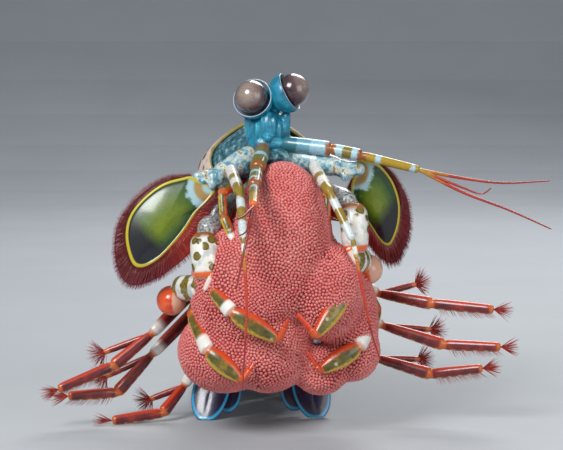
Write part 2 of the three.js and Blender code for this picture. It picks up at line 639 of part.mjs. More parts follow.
// First maxillipeds: slender cleaning limbs
const cleaner = (joints) =>
  limb(joints, [[1.2, 1.3], [1, 0.9], [1.3, 0.7]], { flat: 0.75, side: AXIS_X });
addNode("maxilliped_1_r", FINISHES.arm, cleaner(
  [at(-5.6, 1.5, 55.6), at(-10.3, -9.5, 53.4), at(-9.9, -11, 48.6), at(-7.6, -13.4, 43)]));
addNode("maxilliped_1_l", FINISHES.arm, cleaner(
  [at(7.6, 1.5, 55.6), at(12.4, -9, 52.6), at(12.2, -10.6, 48), at(10.2, -15, 42.6)]));

// Maxillipeds 3 to 5: long arms that end in an oval hand and a curved finger round the clutch
function holdingArm({ joints, finger, hand = 2.35 }) {
  const [wrist, tip] = joints.slice(-2);
  const across = tip.clone().sub(wrist).cross(AXIS_Y).normalize();
  const claw = tip.clone().lerp(finger, 0.45).addScaledVector(across, 0.9);
  return limb([...joints, claw, finger],
    [[1.6, 1.4], [1.4, 1.5], [1.5, 1.7], [hand, hand * 0.75], [0.95, 0.8], [0.7, 0.45]],
    { flat: 0.7, side: across, sides: 5 });
}
const ARMS = {
  maxilliped_3_r: { joints: [at(-6, 7, 50), at(-12.5, -3, 38), at(-12, -16.5, 33), at(-8, -20.6, 29.2),
    at(2, -21.6, 23.4)], finger: at(3.8, -22.6, 28) },
  maxilliped_3_l: { joints: [at(2.5, 7, 50), at(13.6, -1, 42.6), at(14.4, -9.5, 36.2), at(16.8, -15.5, 33.4),
    at(9.7, -20.6, 24)], finger: at(5.8, -21.2, 28.9) },
  maxilliped_4_r: { joints: [at(-6, 8.5, 46.5), at(-14.6, 2.2, 34), at(-17, -8.4, 26.7), at(-13.2, -17, 20.3),
    at(-6.1, -18.5, 14.3)], finger: at(-3.5, -18, 17.8) },
  maxilliped_4_l: { joints: [at(2.5, 8.5, 46.5), at(20, 2.5, 34), at(23.6, -4, 27), at(19.2, -12.4, 20.4),
    at(10.8, -14.4, 15.6)], finger: at(7.9, -16.4, 20.2) },
  maxilliped_5_r: { joints: [at(-6, 9.5, 43), at(-14, 6.5, 30), at(-13, 7, 20), at(-6, 6.6, 13),
    at(2, 6.2, 10.6)], finger: at(5.4, 4.6, 12.8), hand: 2 },
  maxilliped_5_l: { joints: [at(2.5, 9.5, 43), at(14, 7, 31), at(19, 6.4, 22), at(17, 6.4, 14.6),
    at(11, 5.4, 9.4)], finger: at(7.6, 4, 9.6), hand: 2 },
};
for (const [name, arm] of Object.entries(ARMS)) addNode(name, FINISHES.arm, holdingArm(arm));

// Walking legs: two plain articles, a bristled last one, a side branch with a fan of bristles
function bristles(from, to, count, reach, direction) {
  return Array.from({ length: count }, (_, k) => {
    const share = (k + 0.5) / count;
    const foot = from.clone().lerp(to, share);
    const tip = foot.clone().addScaledVector(direction, reach * vary(0.15));
    return spine(foot, tip.addScaledVector(to.clone().sub(from), 0.12), 0.42);
  });
}

function walkingLeg({ side, joints, branch }) {
  const [, knee, ankle, toe] = joints;
  const last = toe.clone().sub(ankle);
  const below = at(0, 0, -1);
  const starts = [-0.15, 0.3].map((lift) => last.clone().normalize().add(at(0, 0.1, lift)));
  return joined([
    limb(joints, [[1.7, 1.35], [1.15, 1.5], [1.45, 1.05]], { flat: 0.8, sides: 5 }),
    ...bristles(ankle.clone().add(at(0, 0, -0.6)), toe.clone().add(at(0, 0, -0.4)), 3, 1.9, below),
    ...starts.map((direction) => spine(toe.clone().lerp(ankle, 0.08), toe.clone()
      .add(direction.setLength(4.6)), 0.42)),
    article(knee.clone().lerp(ankle, 0.04), branch, [0.8, 0.75],
      { sides: 4, side: AXIS_Z, profile: PLAIN_PROFILE }),
    ...[-0.4, 0.4, 1.2].map((turn) => {
      const away = branch.clone().sub(knee).normalize()
        .applyAxisAngle(AXIS_Y, side * (0.2 - turn * 0.75));
      return spine(branch.clone().lerp(knee, 0.04 + 0.02 * turn), branch.clone()
        .addScaledVector(away, 4.2), 0.42);
    }),
  ]);
}
const LEGS = {
  leg_1_r: { side: RIGHT, joints: [at(-9, 13, 38), at(-26.4, 3, 20.8), at(-34.8, 0, 14.1),
    at(-46.6, -4, 9.6)], branch: at(-37.4, 2.4, 16.6) },
  leg_1_l: { side: LEFT, joints: [at(5, 13, 38.5), at(24.2, 6.4, 29.4), at(35.9, 2.4, 27.7),
    at(49.2, -2, 27)], branch: at(33, 8, 31.4) },
  leg_2_r: { side: RIGHT, joints: [at(-9, 14, 32.8), at(-26.6, 6.6, 15.6), at(-34.3, 4, 7.4),
    at(-44.9, 0.6, 7.2)], branch: at(-37.4, 6.4, 10.4) },
  leg_2_l: { side: LEFT, joints: [at(5, 14, 33), at(25.2, 7.6, 22), at(38.8, 4.6, 18.1),
    at(51.1, 0.8, 18.2)], branch: at(36.6, 9, 20.8) },
  leg_3_r: { side: RIGHT, joints: [at(-9, 16, 27.6), at(-19.6, 11, 7.6), at(-24.2, 7, 2.2),
    at(-35.5, 4.4, 0.7)], branch: at(-27.6, 10, 4.6) },
  leg_3_l: { side: LEFT, joints: [at(5, 16, 27.6), at(23.8, 10, 14.2), at(36.1, 7, 11),
    at(47.4, 3.2, 13)], branch: at(34.2, 11.6, 13.6) },
};
for (const [name, leg] of Object.entries(LEGS)) addNode(name, FINISHES.leg, walkingLeg(leg));

// Swimming legs: a broad root and two oval paddles with a fringe, standing on the floor
const SWIMMER_PAIRS = ABDOMEN_LENGTHS.slice(0, 5).map((length, k) => {
  const before = ABDOMEN_LENGTHS.slice(0, k).reduce((sum, next) => sum + next, 0);
  return ABDOMEN_START + before + length * 0.5;
});

function swimmer(k, side) {
  const centre = spineAt(SWIMMER_PAIRS[k]);
  const { dorsal } = spineFrame(SWIMMER_PAIRS[k]);
  const hip = centre.clone().addScaledVector(dorsal, -3.4).add(at(side * 7.4, 0, 0));
  const footY = k === 0 ? 10.4 + 1.2 * side : centre.y - 3.4;
  const foot = at(centre.x + side * (k === 0 ? 13 : 11.8), footY, -0.4);
  const knee = hip.clone().lerp(foot, 0.3).add(at(side * 0.6, k === 0 ? -1.5 : 0, 0));
  const facing = at(1, 0.12 * side, 0);
  const inner = foot.clone().add(at(side * -5.4, 2.6, 1.6));
  return joined([
    article(hip, knee.clone().lerp(foot, 0.12), [3.1, 3.3],
      { flat: 0.5, side: AXIS_X, sides: 5, profile: PLAIN_PROFILE }),
    blade({ root: knee, tip: foot, broad: facing, halfWidth: 4.3, taper: 0.05, crown: -0.5, spokes: 8 }),
    blade({ root: knee.clone().add(at(side * -1.6, 1, 0)), tip: inner, broad: facing, halfWidth: 3.2,
      taper: 0.05, crown: -0.4, spokes: 6, fringe: 0 }),
  ]);
}
for (let k = 0; k < SWIMMER_PAIRS.length; k++) {
  addNode(`pleopod_${k + 1}_r`, FINISHES.swimmer, swimmer(k, RIGHT));
  addNode(`pleopod_${k + 1}_l`, FINISHES.swimmer, swimmer(k, LEFT));
}

// The clutch: folded lobes of eggs that she cradles under her mouth
const EGG_LOBES = [
  { centre: [2.8, -8, 42], radii: [10.8, 12.6, 18.2] },
  { centre: [-5.5, -7.5, 32], radii: [12, 11.6, 14.6] },
  { centre: [12.5, -8.5, 32], radii: [7.9, 10.8, 11] },
  { centre: [-9.8, -6.5, 18.7], radii: [10.4, 10.6, 9.3] },
  { centre: [-0.4, -7, 19.5], radii: [9.5, 10.8, 10] },
  { centre: [17.6, -4.6, 25], radii: [6.2, 8, 12] },
  { centre: [11, -6, 14.4], radii: [6.2, 7.6, 5.6] },
  { centre: [18, -4.6, 18.3], radii: [6.2, 7.6, 6.8] },
];
addNode("egg_mass", FINISHES.eggs,
  joined(EGG_LOBES.map(({ centre, radii }) => ellipsoid(centre, radii, 10, 6))));

// The origin is the middle of the footprint, on the floor
const middle = new THREE.Box3().setFromObject(shrimp).getCenter(at(0, 0, 0));
shrimp.position.set(-middle.x, -middle.y, 0);

export default shrimp;
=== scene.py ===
# %% [markdown]
# # A mantis shrimp carrying her eggs
# This lesson dresses a life-size mantis shrimp. She stands with her thorax raised and holds her
# clutch in front of her mouth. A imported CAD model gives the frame: every limb, plate and egg lobe
# has its place there, in metres. Each cell replaces one group of CAD solids with a finer piece.

# %% Load the frame
import math
import random

import bmesh
import bpy
from mathutils import Matrix, Vector
from mathutils.bvhtree import BVHTree
from mathutils.kdtree import KDTree


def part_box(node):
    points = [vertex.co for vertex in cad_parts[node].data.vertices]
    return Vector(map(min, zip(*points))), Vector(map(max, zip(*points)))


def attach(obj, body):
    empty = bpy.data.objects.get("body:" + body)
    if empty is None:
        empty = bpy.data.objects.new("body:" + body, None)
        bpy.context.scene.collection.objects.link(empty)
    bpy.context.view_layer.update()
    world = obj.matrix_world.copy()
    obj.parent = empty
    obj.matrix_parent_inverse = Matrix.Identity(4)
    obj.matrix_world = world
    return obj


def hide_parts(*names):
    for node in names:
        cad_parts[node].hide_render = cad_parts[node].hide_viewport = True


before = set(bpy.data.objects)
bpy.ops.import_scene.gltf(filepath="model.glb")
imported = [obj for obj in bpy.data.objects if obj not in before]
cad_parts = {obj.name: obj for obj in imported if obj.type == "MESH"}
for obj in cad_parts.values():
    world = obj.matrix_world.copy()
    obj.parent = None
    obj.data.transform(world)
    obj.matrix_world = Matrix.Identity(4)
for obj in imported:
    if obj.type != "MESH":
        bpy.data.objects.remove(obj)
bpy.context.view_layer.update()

random.seed(5)
print("CAD nodes:", len(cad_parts))

# %% [markdown]
# ## Working in millimetres
# The measurements are easier to read in millimetres from a point on the animal's own midline, so
# two helpers turn them into the frame's metres. The centre of her right eye ties the two together.

# %% Millimetres to the frame
RIGHT_EYE = Vector((-4.1, -3.0, 73.8))
LEFT_EYE = Vector((5.0, -1.0, 75.2))
eye_low, eye_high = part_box("eye_r")
shift = (eye_low + eye_high) / 2 - RIGHT_EYE * 0.001
X, Y, Z = Vector((1, 0, 0)), Vector((0, 1, 0)), Vector((0, 0, 1))
RIGHT, LEFT = -1, 1


def at(*spot):
    return Vector(spot)


def row(*spots):
    return [at(*spot) for spot in spots]


def to_frame(spot):
    return spot * 0.001 + shift


def blend(a, b, share):
    return a + (b - a) * share


print("shift in mm:", [round(v * 1000, 2) for v in shift])

# %% [markdown]
# ## The camera
# The camera looks into her face, almost level and from a little above. A long lens keeps the
# feelers that reach towards it in proportion. It comes first, so that every later piece can be
# looked at from the right side.

# %% The camera
CAMERA_TARGET = to_frame(at(2.5, 0, 45.5))
CAMERA_DISTANCE = 0.45
CAMERA_RISE = math.radians(6)
camera_data = bpy.data.cameras.new("camera")
camera_data.sensor_width = 36
camera_data.lens = 130.8
camera_data.clip_start = 0.01
camera = bpy.data.objects.new("camera", camera_data)
bpy.context.scene.collection.objects.link(camera)
toward_camera = Vector((0, -math.cos(CAMERA_RISE), math.sin(CAMERA_RISE)))
camera.location = CAMERA_TARGET + CAMERA_DISTANCE * toward_camera
camera.rotation_euler = (math.radians(90) - CAMERA_RISE, 0, 0)
bpy.context.scene.camera = camera

# %% [markdown]
# ## Curves with a length
# Her body and her feelers follow smooth curves. A centripetal Catmull-Rom curve passes through
# every measured point without loops. Sampling it once gives places at an even distance along it.

# %% A measured path
class Path:
    def __init__(self, points, count=240):
        ends = [points[0] * 2 - points[1], *points, points[-1] * 2 - points[-2]]
        self.spots = []
        for k in range(count + 1):
            place = k / count * (len(points) - 1)
            i = min(int(place), len(points) - 2)
            self.spots.append(self.spot(ends[i:i + 4], place - i))
        self.reach = [0.0]
        for a, b in zip(self.spots, self.spots[1:]):
            self.reach.append(self.reach[-1] + (b - a).length)
        self.length = self.reach[-1]

    @staticmethod
    def spot(four, t):
        a, b, c, d = four
        before, here, after = [(q - p).length ** 0.5 for p, q in ((a, b), (b, c), (c, d))]
        lead = ((b - a) / before - (c - a) / (before + here) + (c - b) / here) * here
        tail = ((c - b) / here - (d - b) / (here + after) + (d - c) / after) * here
        bend = 3 * (c - b) - 2 * lead - tail
        return b + lead * t + bend * t * t + (2 * (b - c) + lead + tail) * t ** 3

    def at(self, distance):
        distance = min(max(distance, 0.0), self.length * 0.99999)
        low, high = 0, len(self.reach) - 1
        while high - low > 1:
            middle = (low + high) // 2
            if self.reach[middle] > distance:
                high = middle
            else:
                low = middle
        share = (distance - self.reach[low]) / (self.reach[high] - self.reach[low])
        return blend(self.spots[low], self.spots[high], share)

    def along(self, distance):
        distance = min(max(distance, 0.0), self.length)
        return (self.at(distance + 0.05) - self.at(distance - 0.05)).normalized()


body_path = Path([at(-1.5, 9.5, 66), at(-2.3, 14.5, 55), at(-2.6, 17.2, 43), at(-2.4, 18.5, 33),
                  at(-2.2, 22, 24.5), at(-2, 29.5, 19), at(-1.2, 40, 17.5), at(0.3, 60, 17.3),
                  at(2.2, 84, 16.2)])


def dorsal_at(distance):
    return X.cross(body_path.along(distance)).normalized()


print("body axis in mm:", round(body_path.length, 1))

# %% [markdown]
# ## Rings bridged into a skin
# A crab-like limb is a row of tubes. Each ring of a tube is a circle, stretched and turned into
# place, and neighbouring circles are bridged. Every ring also carries a number, along, which grows
# from the root to the tip, and every point carries its place on the ring, edge and turn. The
# finishes read these numbers to put bands, rims and joints where they belong.

# %% Loft a row of rings
LAYERS = ("along", "edge", "turn", "mark")


def layers_of(bm):
    floats = bm.verts.layers.float
    return {name: floats.get(name) or floats.new(name) for name in LAYERS}


def ring(bm, sides, radius=1.0):
    verts = bmesh.ops.create_circle(bm, segments=sides, radius=radius)["verts"]
    return verts, list({edge for vert in verts for edge in vert.link_edges})


def bridge(bm, loops, ends):
    for near, far in zip(loops, loops[1:]):
        bmesh.ops.bridge_loops(bm, edges=near + far)
    for end in ends:
        bmesh.ops.contextual_create(bm, geom=end)


def loft(bm, rings, sides=12, side=X, shape=None, mark=0.0):
    layer = layers_of(bm)
    loops = []
    for spot, along, wide, deep, share in rings:
        circle, edges = ring(bm, sides)
        loops.append(edges)
        along = along.normalized()
        across = (side - along * side.dot(along)).normalized()
        down = along.cross(across)
        for vert in circle:
            c, s = vert.co.x, vert.co.y
            vert[layer["edge"]], vert[layer["turn"]] = c, s
            if shape:
                c, s = shape(c, s)
            vert.co = to_frame(spot + across * (wide * c) + down * (deep * s))
            vert[layer["along"]] = share
            vert[layer["mark"]] = mark
    bridge(bm, loops, (loops[0], loops[-1]))


# %% [markdown]
# ## Articles, limbs and threads
# One article is a rounded club. A limb is a row of articles pinched at its joints, where soft skin
# lets them bend. A thread is a long thin tube that tapers to its tip.

# %% Articles, limbs and threads
CLUB = [(0, 0.5), (0.03, 0.66), (0.08, 0.84), (0.16, 0.96), (0.3, 1.02), (0.5, 1.03), (0.7, 1.02),
        (0.84, 1), (0.93, 0.86), (0.98, 0.66), (1, 0.45)]
OVAL = [(0, 0.5), (0.06, 0.66), (0.16, 0.84), (0.3, 0.99), (0.46, 1.06), (0.62, 1.02), (0.78, 0.86),
        (0.9, 0.66), (0.985, 0.5)]
JOINTED = [(0, 0.64), (0.05, 0.84), (0.16, 0.95), (0.5, 1.0), (0.82, 1.03), (0.94, 1.06),
           (0.985, 0.88)]


def article(bm, a, b, widths, flat=1.0, side=Z, sides=16, bow=None, profile=CLUB, first=0.0,
            mark=0.0):
    path = Path([a, blend(a, b, 0.5) + bow, b]) if bow else None
    rings = []
    for t, size in profile:
        wide = size * blend(widths[0], widths[1], t)
        spot = path.at(t * path.length) if path else blend(a, b, t)
        lead = path.along(t * path.length) if path else b - a
        rings.append((spot, lead, wide, wide * flat, first + t))
    loft(bm, rings, sides=sides, side=side, mark=mark)


def limb(bm, joints, widths, flat=1.0, side=Z, sides=12, mark=0.0, oval=None):
    ways = [(b - a).normalized() for a, b in zip(joints, joints[1:])]
    rings = []
    for k, (start, end) in enumerate(widths):
        for t, size in OVAL if k == oval else JOINTED:
            lead = ways[k] + ways[k - 1] if t == 0 and k else ways[k]
            if t == 0 and k:
                size *= min(1, widths[k - 1][1] / start)
            wide = size * blend(start, end, t)
            rings.append((blend(joints[k], joints[k + 1], t), lead, wide, wide * flat, k + t))
    last = widths[-1][1] * 0.5
    rings.append((joints[-1], ways[-1], last, last * flat, len(widths)))
    loft(bm, rings, sides=sides, side=side, mark=mark)


def thread(bm, points, start, end, rings=26, sides=7, first=0.0, mark=0.0):
    path = Path(points)
    places = []
    for k in range(rings + 1):
        share = k / rings
        radius = blend(start, end, share)
        reach = share * path.length
        places.append((path.at(reach), path.along(reach), radius, radius, first + share))
    loft(bm, places, sides=sides, side=at(0.1, 1, 0.2), mark=mark)


# %% [markdown]
# ## Turning a working mesh into a piece
# Every piece rides on the frame's only body and hides the CAD solids it stands for. Subdivision
# rounds the bridged rings. Its viewport and render levels are equal, so both show the same shape.

# %% Finish a piece
def piece(name, shape, finish, nodes=(), levels=1, wall=0.0):
    if isinstance(shape, bmesh.types.BMesh):
        bmesh.ops.recalc_face_normals(shape, faces=shape.faces)
        mesh = bpy.data.meshes.new(name)
        shape.to_mesh(mesh)
        shape.free()
    else:
        mesh = shape
    mesh.shade_smooth()
    obj = bpy.data.objects.new(name, mesh)
    bpy.context.scene.collection.objects.link(obj)
    obj.data.materials.clear()
    obj.data.materials.append(finish)
    if wall:
        thick = obj.modifiers.new("wall", "SOLIDIFY")
        thick.thickness = wall * 0.001
        thick.offset = 0
    if levels:
        smooth = obj.modifiers.new("smooth", "SUBSURF")
        smooth.levels = smooth.render_levels = levels
    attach(obj, "root")
    if nodes:
        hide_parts(*nodes)
    return obj


# %% [markdown]
# ## Soft forms melted together
# The face, the trunk and the egg clutch are rounded forms that flow into each other. They start as
# overlapping spheres and tubes. A voxel remesh makes one skin of them, and smoothing softens the
# creases where they met.

# %% Melt a working mesh into one skin
def blob(bm, centre, radii, turn=None):
    size = Matrix.Diagonal((*[r * 0.001 for r in radii], 1))
    place = Matrix.Translation(to_frame(centre)) @ (turn or Matrix()) @ size
    bmesh.ops.create_icosphere(bm, subdivisions=4, radius=1, matrix=place)


def melt(bm, voxel, rounds):
    bmesh.ops.recalc_face_normals(bm, faces=bm.faces)
    mesh = bpy.data.meshes.new("soft_form")
    bm.to_mesh(mesh)
    bm.free()
    obj = bpy.data.objects.new("soft_form", mesh)
    bpy.context.scene.collection.objects.link(obj)
    remesh = obj.modifiers.new("melt", "REMESH")
    remesh.mode = "VOXEL"
    remesh.voxel_size = voxel * 0.001
    soften = obj.modifiers.new("soften", "SMOOTH")
    soften.iterations = rounds
    soften.factor = 0.5
    graph = bpy.context.evaluated_depsgraph_get()
    whole = bpy.data.meshes.new_from_object(obj.evaluated_get(graph))
    bpy.data.objects.remove(obj)
    return whole


# %% [markdown]
# ## Helpers for finishes
# Wet shell is a coloured layer under a thin clear gloss. A small builder keeps each finish short:
# it reads object coordinates or a piece's own numbers, mixes colours, and adds a fine bump.

# %% A finish builder
class Finish:
    def __init__(self, name, roughness=0.34, coat=0.5, subsurface=0.0):
        self.material = bpy.data.materials.new(name)
        self.material.use_nodes = True
        self.nodes = self.material.node_tree.nodes
        self.links = self.material.node_tree.links
        self.shader = self.nodes["Principled BSDF"]
        self.shader.inputs["Roughness"].default_value = roughness
        self.shader.inputs["Coat Weight"].default_value = coat
        self.shader.inputs["Coat Roughness"].default_value = 0.14
        self.shader.inputs["Subsurface Weight"].default_value = subsurface
        self.shader.inputs["Subsurface Scale"].default_value = 0.001

    def plug(self, socket, value):
        if isinstance(value, bpy.types.NodeSocket):
            self.links.new(value, socket)
        elif isinstance(value, tuple) and socket.type == "RGBA":
            socket.default_value = (*value, 1)
        else:
            socket.default_value = value

    def node(self, kind, **inputs):
        made = self.nodes.new(kind)
        for name, value in inputs.items():
            self.plug(made.inputs[name], value)
        return made

    def spot(self, centre=(0, 0, 0), turn=(0, 0, 0), scale=(1, 1, 1)):
        """Object coordinates in millimetres from a centre given in millimetres."""
        source = self.nodes.new("ShaderNodeTexCoord").outputs["Object"]
        moved = self.nodes.new("ShaderNodeVectorMath")
        moved.operation = "SUBTRACT"
        self.links.new(source, moved.inputs[0])
        moved.inputs[1].default_value = to_frame(Vector(centre))
        size = [v * 1000 for v in scale]
        mapping = self.node("ShaderNodeMapping", Vector=moved.outputs[0], Rotation=turn, Scale=size)
        return mapping.outputs[0]

    def vector(self, kind, a, b):
        made = self.nodes.new("ShaderNodeVectorMath")
        made.operation = kind
        self.plug(made.inputs[0], a)
        self.plug(made.inputs[1], b)
        return made.outputs["Value"]

    def number(self, name):
        made = self.nodes.new("ShaderNodeAttribute")
        made.attribute_name = name
        return made.outputs["Fac"]

    def math(self, kind, a, b=0.0, clamp=False):
        made = self.nodes.new("ShaderNodeMath")
        made.operation = kind
        made.use_clamp = clamp
        self.plug(made.inputs[0], a)
        self.plug(made.inputs[1], b)
        return made.outputs[0]

    def span(self, value, low, high):
        """0 below low, 1 above high, and an even slope between."""
        return self.math("MULTIPLY", self.math("SUBTRACT", value, low), 1 / (high - low),
                         clamp=True)

    def times(self, a, b):
        return self.math("MULTIPLY", a, b)

    def plus(self, a, b):
        return self.math("ADD", a, b)

    def noise(self, vector, scale, detail=3.0, roughness=0.55):
        return self.node("ShaderNodeTexNoise", Vector=vector, Scale=scale, Detail=detail,
                         Roughness=roughness).outputs["Fac"]

    def cells(self, vector, scale, randomness=1.0):
        return self.node("ShaderNodeTexVoronoi", Vector=vector, Scale=scale,
                         Randomness=randomness).outputs["Distance"]

    def ramp(self, value, stops, kind="EASE"):
        made = self.node("ShaderNodeValToRGB", Fac=value)
        made.color_ramp.interpolation = kind
        while len(made.color_ramp.elements) < len(stops):
            made.color_ramp.elements.new(0.5)
        for element, (position, colour) in zip(made.color_ramp.elements, stops):
            element.position = position
            grey = (colour, colour, colour) if isinstance(colour, float) else colour
            element.color = (*grey, 1)
        return made.outputs["Color"]

    def mix(self, share, a, b):
        made = self.nodes.new("ShaderNodeMix")
        made.data_type = "RGBA"
        for socket, value in zip((made.inputs[0], made.inputs[6], made.inputs[7]), (share, a, b)):
            self.plug(socket, value)
        return made.outputs[2]

    def over(self, colour, value, stops, tone):
        """Lay a tone over a colour, as far as the ramp of a value says."""
        return self.mix(self.ramp(value, stops), colour, tone)

    def paint(self, colour, height=None, depth=0.1, strength=0.5):
        self.links.new(colour, self.shader.inputs["Base Color"])
        if height is not None:
            bump = self.node("ShaderNodeBump", Height=height, Strength=strength,
                             Distance=depth * 0.001)
            self.links.new(bump.outputs[0], self.shader.inputs["Normal"])
        return self.material


# %% [markdown]
# ## The colours
# She is one of the most colourful animals of the reef: turquoise face and eye cups, olive body,
# yellow-green paddles with black ends, white claws with olive spots, and orange-red hammers.

# %% Colours in linear light
WHITE = (0.78, 0.76, 0.70)
CREAM = (0.66, 0.55, 0.38)
OLIVE = (0.19, 0.15, 0.012)
ORANGE = (0.76, 0.13, 0.01)
RED = (0.62, 0.03, 0.006)
TURQUOISE = (0.006, 0.23, 0.36)
NAVY = (0.008, 0.012, 0.06)
CYAN = (0.02, 0.35, 0.62)

# %% [markdown]
# ## Eyes
# Each eye is a round cornea in a blue cup. Thin lines cross the cornea's middle, where six rows of
# special facets see colour and polarised light. The finish measures the height above those lines,
# and the distance from the small dark spots where facets look straight at the viewer. It also
# paints
# shade: the cornea darkens towards its rim, away from its gaze.

# %% Cornea finish
CORNEA_RADIUS = 3.6


def cornea_finish(tag, centre, look, lines_up, dots):
    finish = Finish(f"cornea_{tag}", roughness=0.22, coat=0.7)
    spot = finish.spot(centre)
    front = finish.times(finish.vector("DOT_PRODUCT", spot, tuple(look)), 1 / CORNEA_RADIUS)
    across = look.cross(lines_up)
    height = finish.vector("DOT_PRODUCT", spot, tuple(lines_up))
    breadth = finish.vector("DOT_PRODUCT", spot, tuple(across))
    wave = finish.times(finish.times(breadth, breadth), 0.035)
    level = finish.plus(height, wave)
    streak = finish.node("ShaderNodeCombineXYZ", X=level, Y=finish.times(breadth, 0.08))
    grain = finish.noise(streak.outputs[0], 5.5, 3)
    # Painted shade: the cornea darkens from taupe to dark mauve towards its rim, away from its
    # gaze.
    rim_shaded_taupe = finish.ramp(front, [(0.1, (0.02, 0.006, 0.01)), (0.4, (0.075, 0.035, 0.042)),
                                (0.68, (0.20, 0.14, 0.125)), (1.0, (0.34, 0.27, 0.22))])
    rim_shaded_taupe = finish.over(rim_shaded_taupe, grain, [(0.35, 0.0), (0.7, 0.5)], (0.10, 0.06, 0.06))
    shelf = finish.span(level, -CORNEA_RADIUS, CORNEA_RADIUS)
    lines = finish.ramp(shelf, [(0.0, 0.0), (0.515, 0.0), (0.52, 0.85), (0.53, 0.0), (0.555, 0.0),
                                (0.56, 0.7), (0.57, 0.0), (0.6, 0.0), (0.606, 0.9), (0.618, 0.1),
                                (0.64, 0.0), (0.70, 0.3), (0.71, 0.0)], "LINEAR")
    colour = finish.mix(lines, rim_shaded_taupe, (0.035, 0.018, 0.02))
    for dot, radius in dots:
        place = finish.spot(centre)
        away = finish.vector("DISTANCE", place, dot)
        colour = finish.over(colour, finish.times(away, 1 / radius), [(0.6, 1.0), (1.0, 0.0)],
                             (0.004, 0.003, 0.004))
    return finish.paint(colour, grain, 0.02, 0.2)


# %% Turquoise finish of the cups and the face
def turquoise(name, rim=False):
    finish = Finish(name, roughness=0.36, coat=0.45, subsurface=0.06)
    spot = finish.spot()
    cloud = finish.noise(spot, 0.42, 4, 0.6)
    grain = finish.noise(spot, 2.6, 4, 0.6)
    colour = finish.ramp(cloud, [(0.28, (0.004, 0.075, 0.13)), (0.42, (0.004, 0.16, 0.26)),
                                 (0.56, TURQUOISE), (0.74, (0.04, 0.42, 0.52))])
    colour = finish.over(colour, grain, [(0.52, 0.0), (0.75, 0.4)], (0.12, 0.36, 0.3))
    if rim:
        edge = finish.number("along")
        colour = finish.over(colour, edge, [(0.0, 1.0), (0.46, 1.0), (0.50, 0.0)],
                             (0.36, 0.44, 0.55))
        line = finish.ramp(edge, [(0.0, 0.0), (0.49, 0.0), (0.505, 0.9), (0.53, 0.0)], "LINEAR")
        colour = finish.mix(line, colour, (0.02, 0.02, 0.05))
    return finish.paint(colour, grain, 0.1, 0.55)


CUPS = turquoise("eye_cups", rim=True)
FACE = turquoise("turquoise_face")

# %% Cups and corneas
CUP_PROFILE = [(4.2, 0.3), (3.9, 1.6), (3.2, 2.8), (2.2, 3.66), (1.2, 4.06), (0.8, 4.17),
               (0.66, 4.3), (0.8, 4.45), (1.2, 4.52), (1.8, 4.5), (2.5, 4.36), (3.3, 4.02),
               (4.2, 3.4), (5.0, 2.7), (5.6, 1.9)]


def eye(tag, centre, look, neck, lines_up, dots):
    look = look.normalized()
    lines_up = (lines_up - look * lines_up.dot(look)).normalized()
    ball = bmesh.new()
    place = Matrix.Translation(to_frame(centre))
    bmesh.ops.create_uvsphere(ball, u_segments=56, v_segments=36, radius=CORNEA_RADIUS * 0.001,
                              matrix=place)
    piece(f"cornea_{tag}", ball, cornea_finish(tag, centre, look, lines_up, dots),
          [f"eye_{tag}"], levels=0)
    cup = bmesh.new()
    rings = [(centre - look * depth, -look, radius, radius, k / (len(CUP_PROFILE) - 1))
             for k, (depth, radius) in enumerate(CUP_PROFILE)]
    loft(cup, rings, sides=40, side=at(0.2, 0.1, 1))
    article(cup, neck, centre - look * 5.0, (1.5, 1.8), side=Y, first=1.0)
    piece(f"eye_cup_{tag}", cup, CUPS, [f"eyestalk_{tag}"])


eye("r", RIGHT_EYE, at(-0.3, -0.88, 0.36), at(-1.5, 1.2, 69.6), at(0.06, 0.3, 1),
    [((1.39, -3.22, 0.83), 0.2), ((-0.15, -2.33, -2.74), 0.22)])
eye("l", LEFT_EYE, at(0.86, -0.26, 0.44), at(0.8, 1.4, 69.8), at(-0.45, 0.1, 1), [])
print("eyes are", 2 * CORNEA_RADIUS, "mm across")

# %% [markdown]
# ## Face
# The blue face is a small soft-looking shield with folds down its middle, between two curled lobes.
# Melted blobs give the folds without a seam, and the finish adds fine wrinkles.

# %% Face
face = bmesh.new()
for centre, radii in [((-0.4, 2.2, 66.6), (4.1, 6.4, 4.6)), ((-0.4, -2.4, 67.4), (1.5, 2.1, 3.4)),
                      ((-0.3, -0.6, 63.6), (4.6, 3.3, 2.1)), ((-0.4, -4.0, 64.9), (0.9, 0.9, 0.9)),
                      ((-1.7, -3.6, 67.4), (0.5, 0.9, 2.4)), ((0.9, -3.6, 67.4), (0.5, 0.9, 2.4)),
                      ((-2.9, -2.6, 66.2), (0.5, 1.0, 2.2)), ((2.1, -2.6, 66.4), (0.5, 1.0, 2.2))]:
    blob(face, at(*centre), radii)
for side, root, tip in ((RIGHT, at(-3.4, 1.0, 63.2), at(-4.9, 0.2, 70.2)),
                        (LEFT, at(2.6, 1.0, 64), at(3.7, 0.2, 70.7))):
    article(face, root, tip, (1.3, 0.95), flat=1.8, side=X)
    fold_root, fold_tip = root + at(side * 1.2, -0.9, 0.3), tip + at(side * 0.4, -1.3, -0.8)
    article(face, fold_root, fold_tip, (0.55, 0.45), side=X)
piece("face", melt(face, 0.24, 3), FACE, ["head"], levels=0)

# %% [markdown]
# ## Trunk
# Behind the face the trunk fills the carapace. Its skin is turquoise near the face and rusty white
# further down, where the limbs leave it.

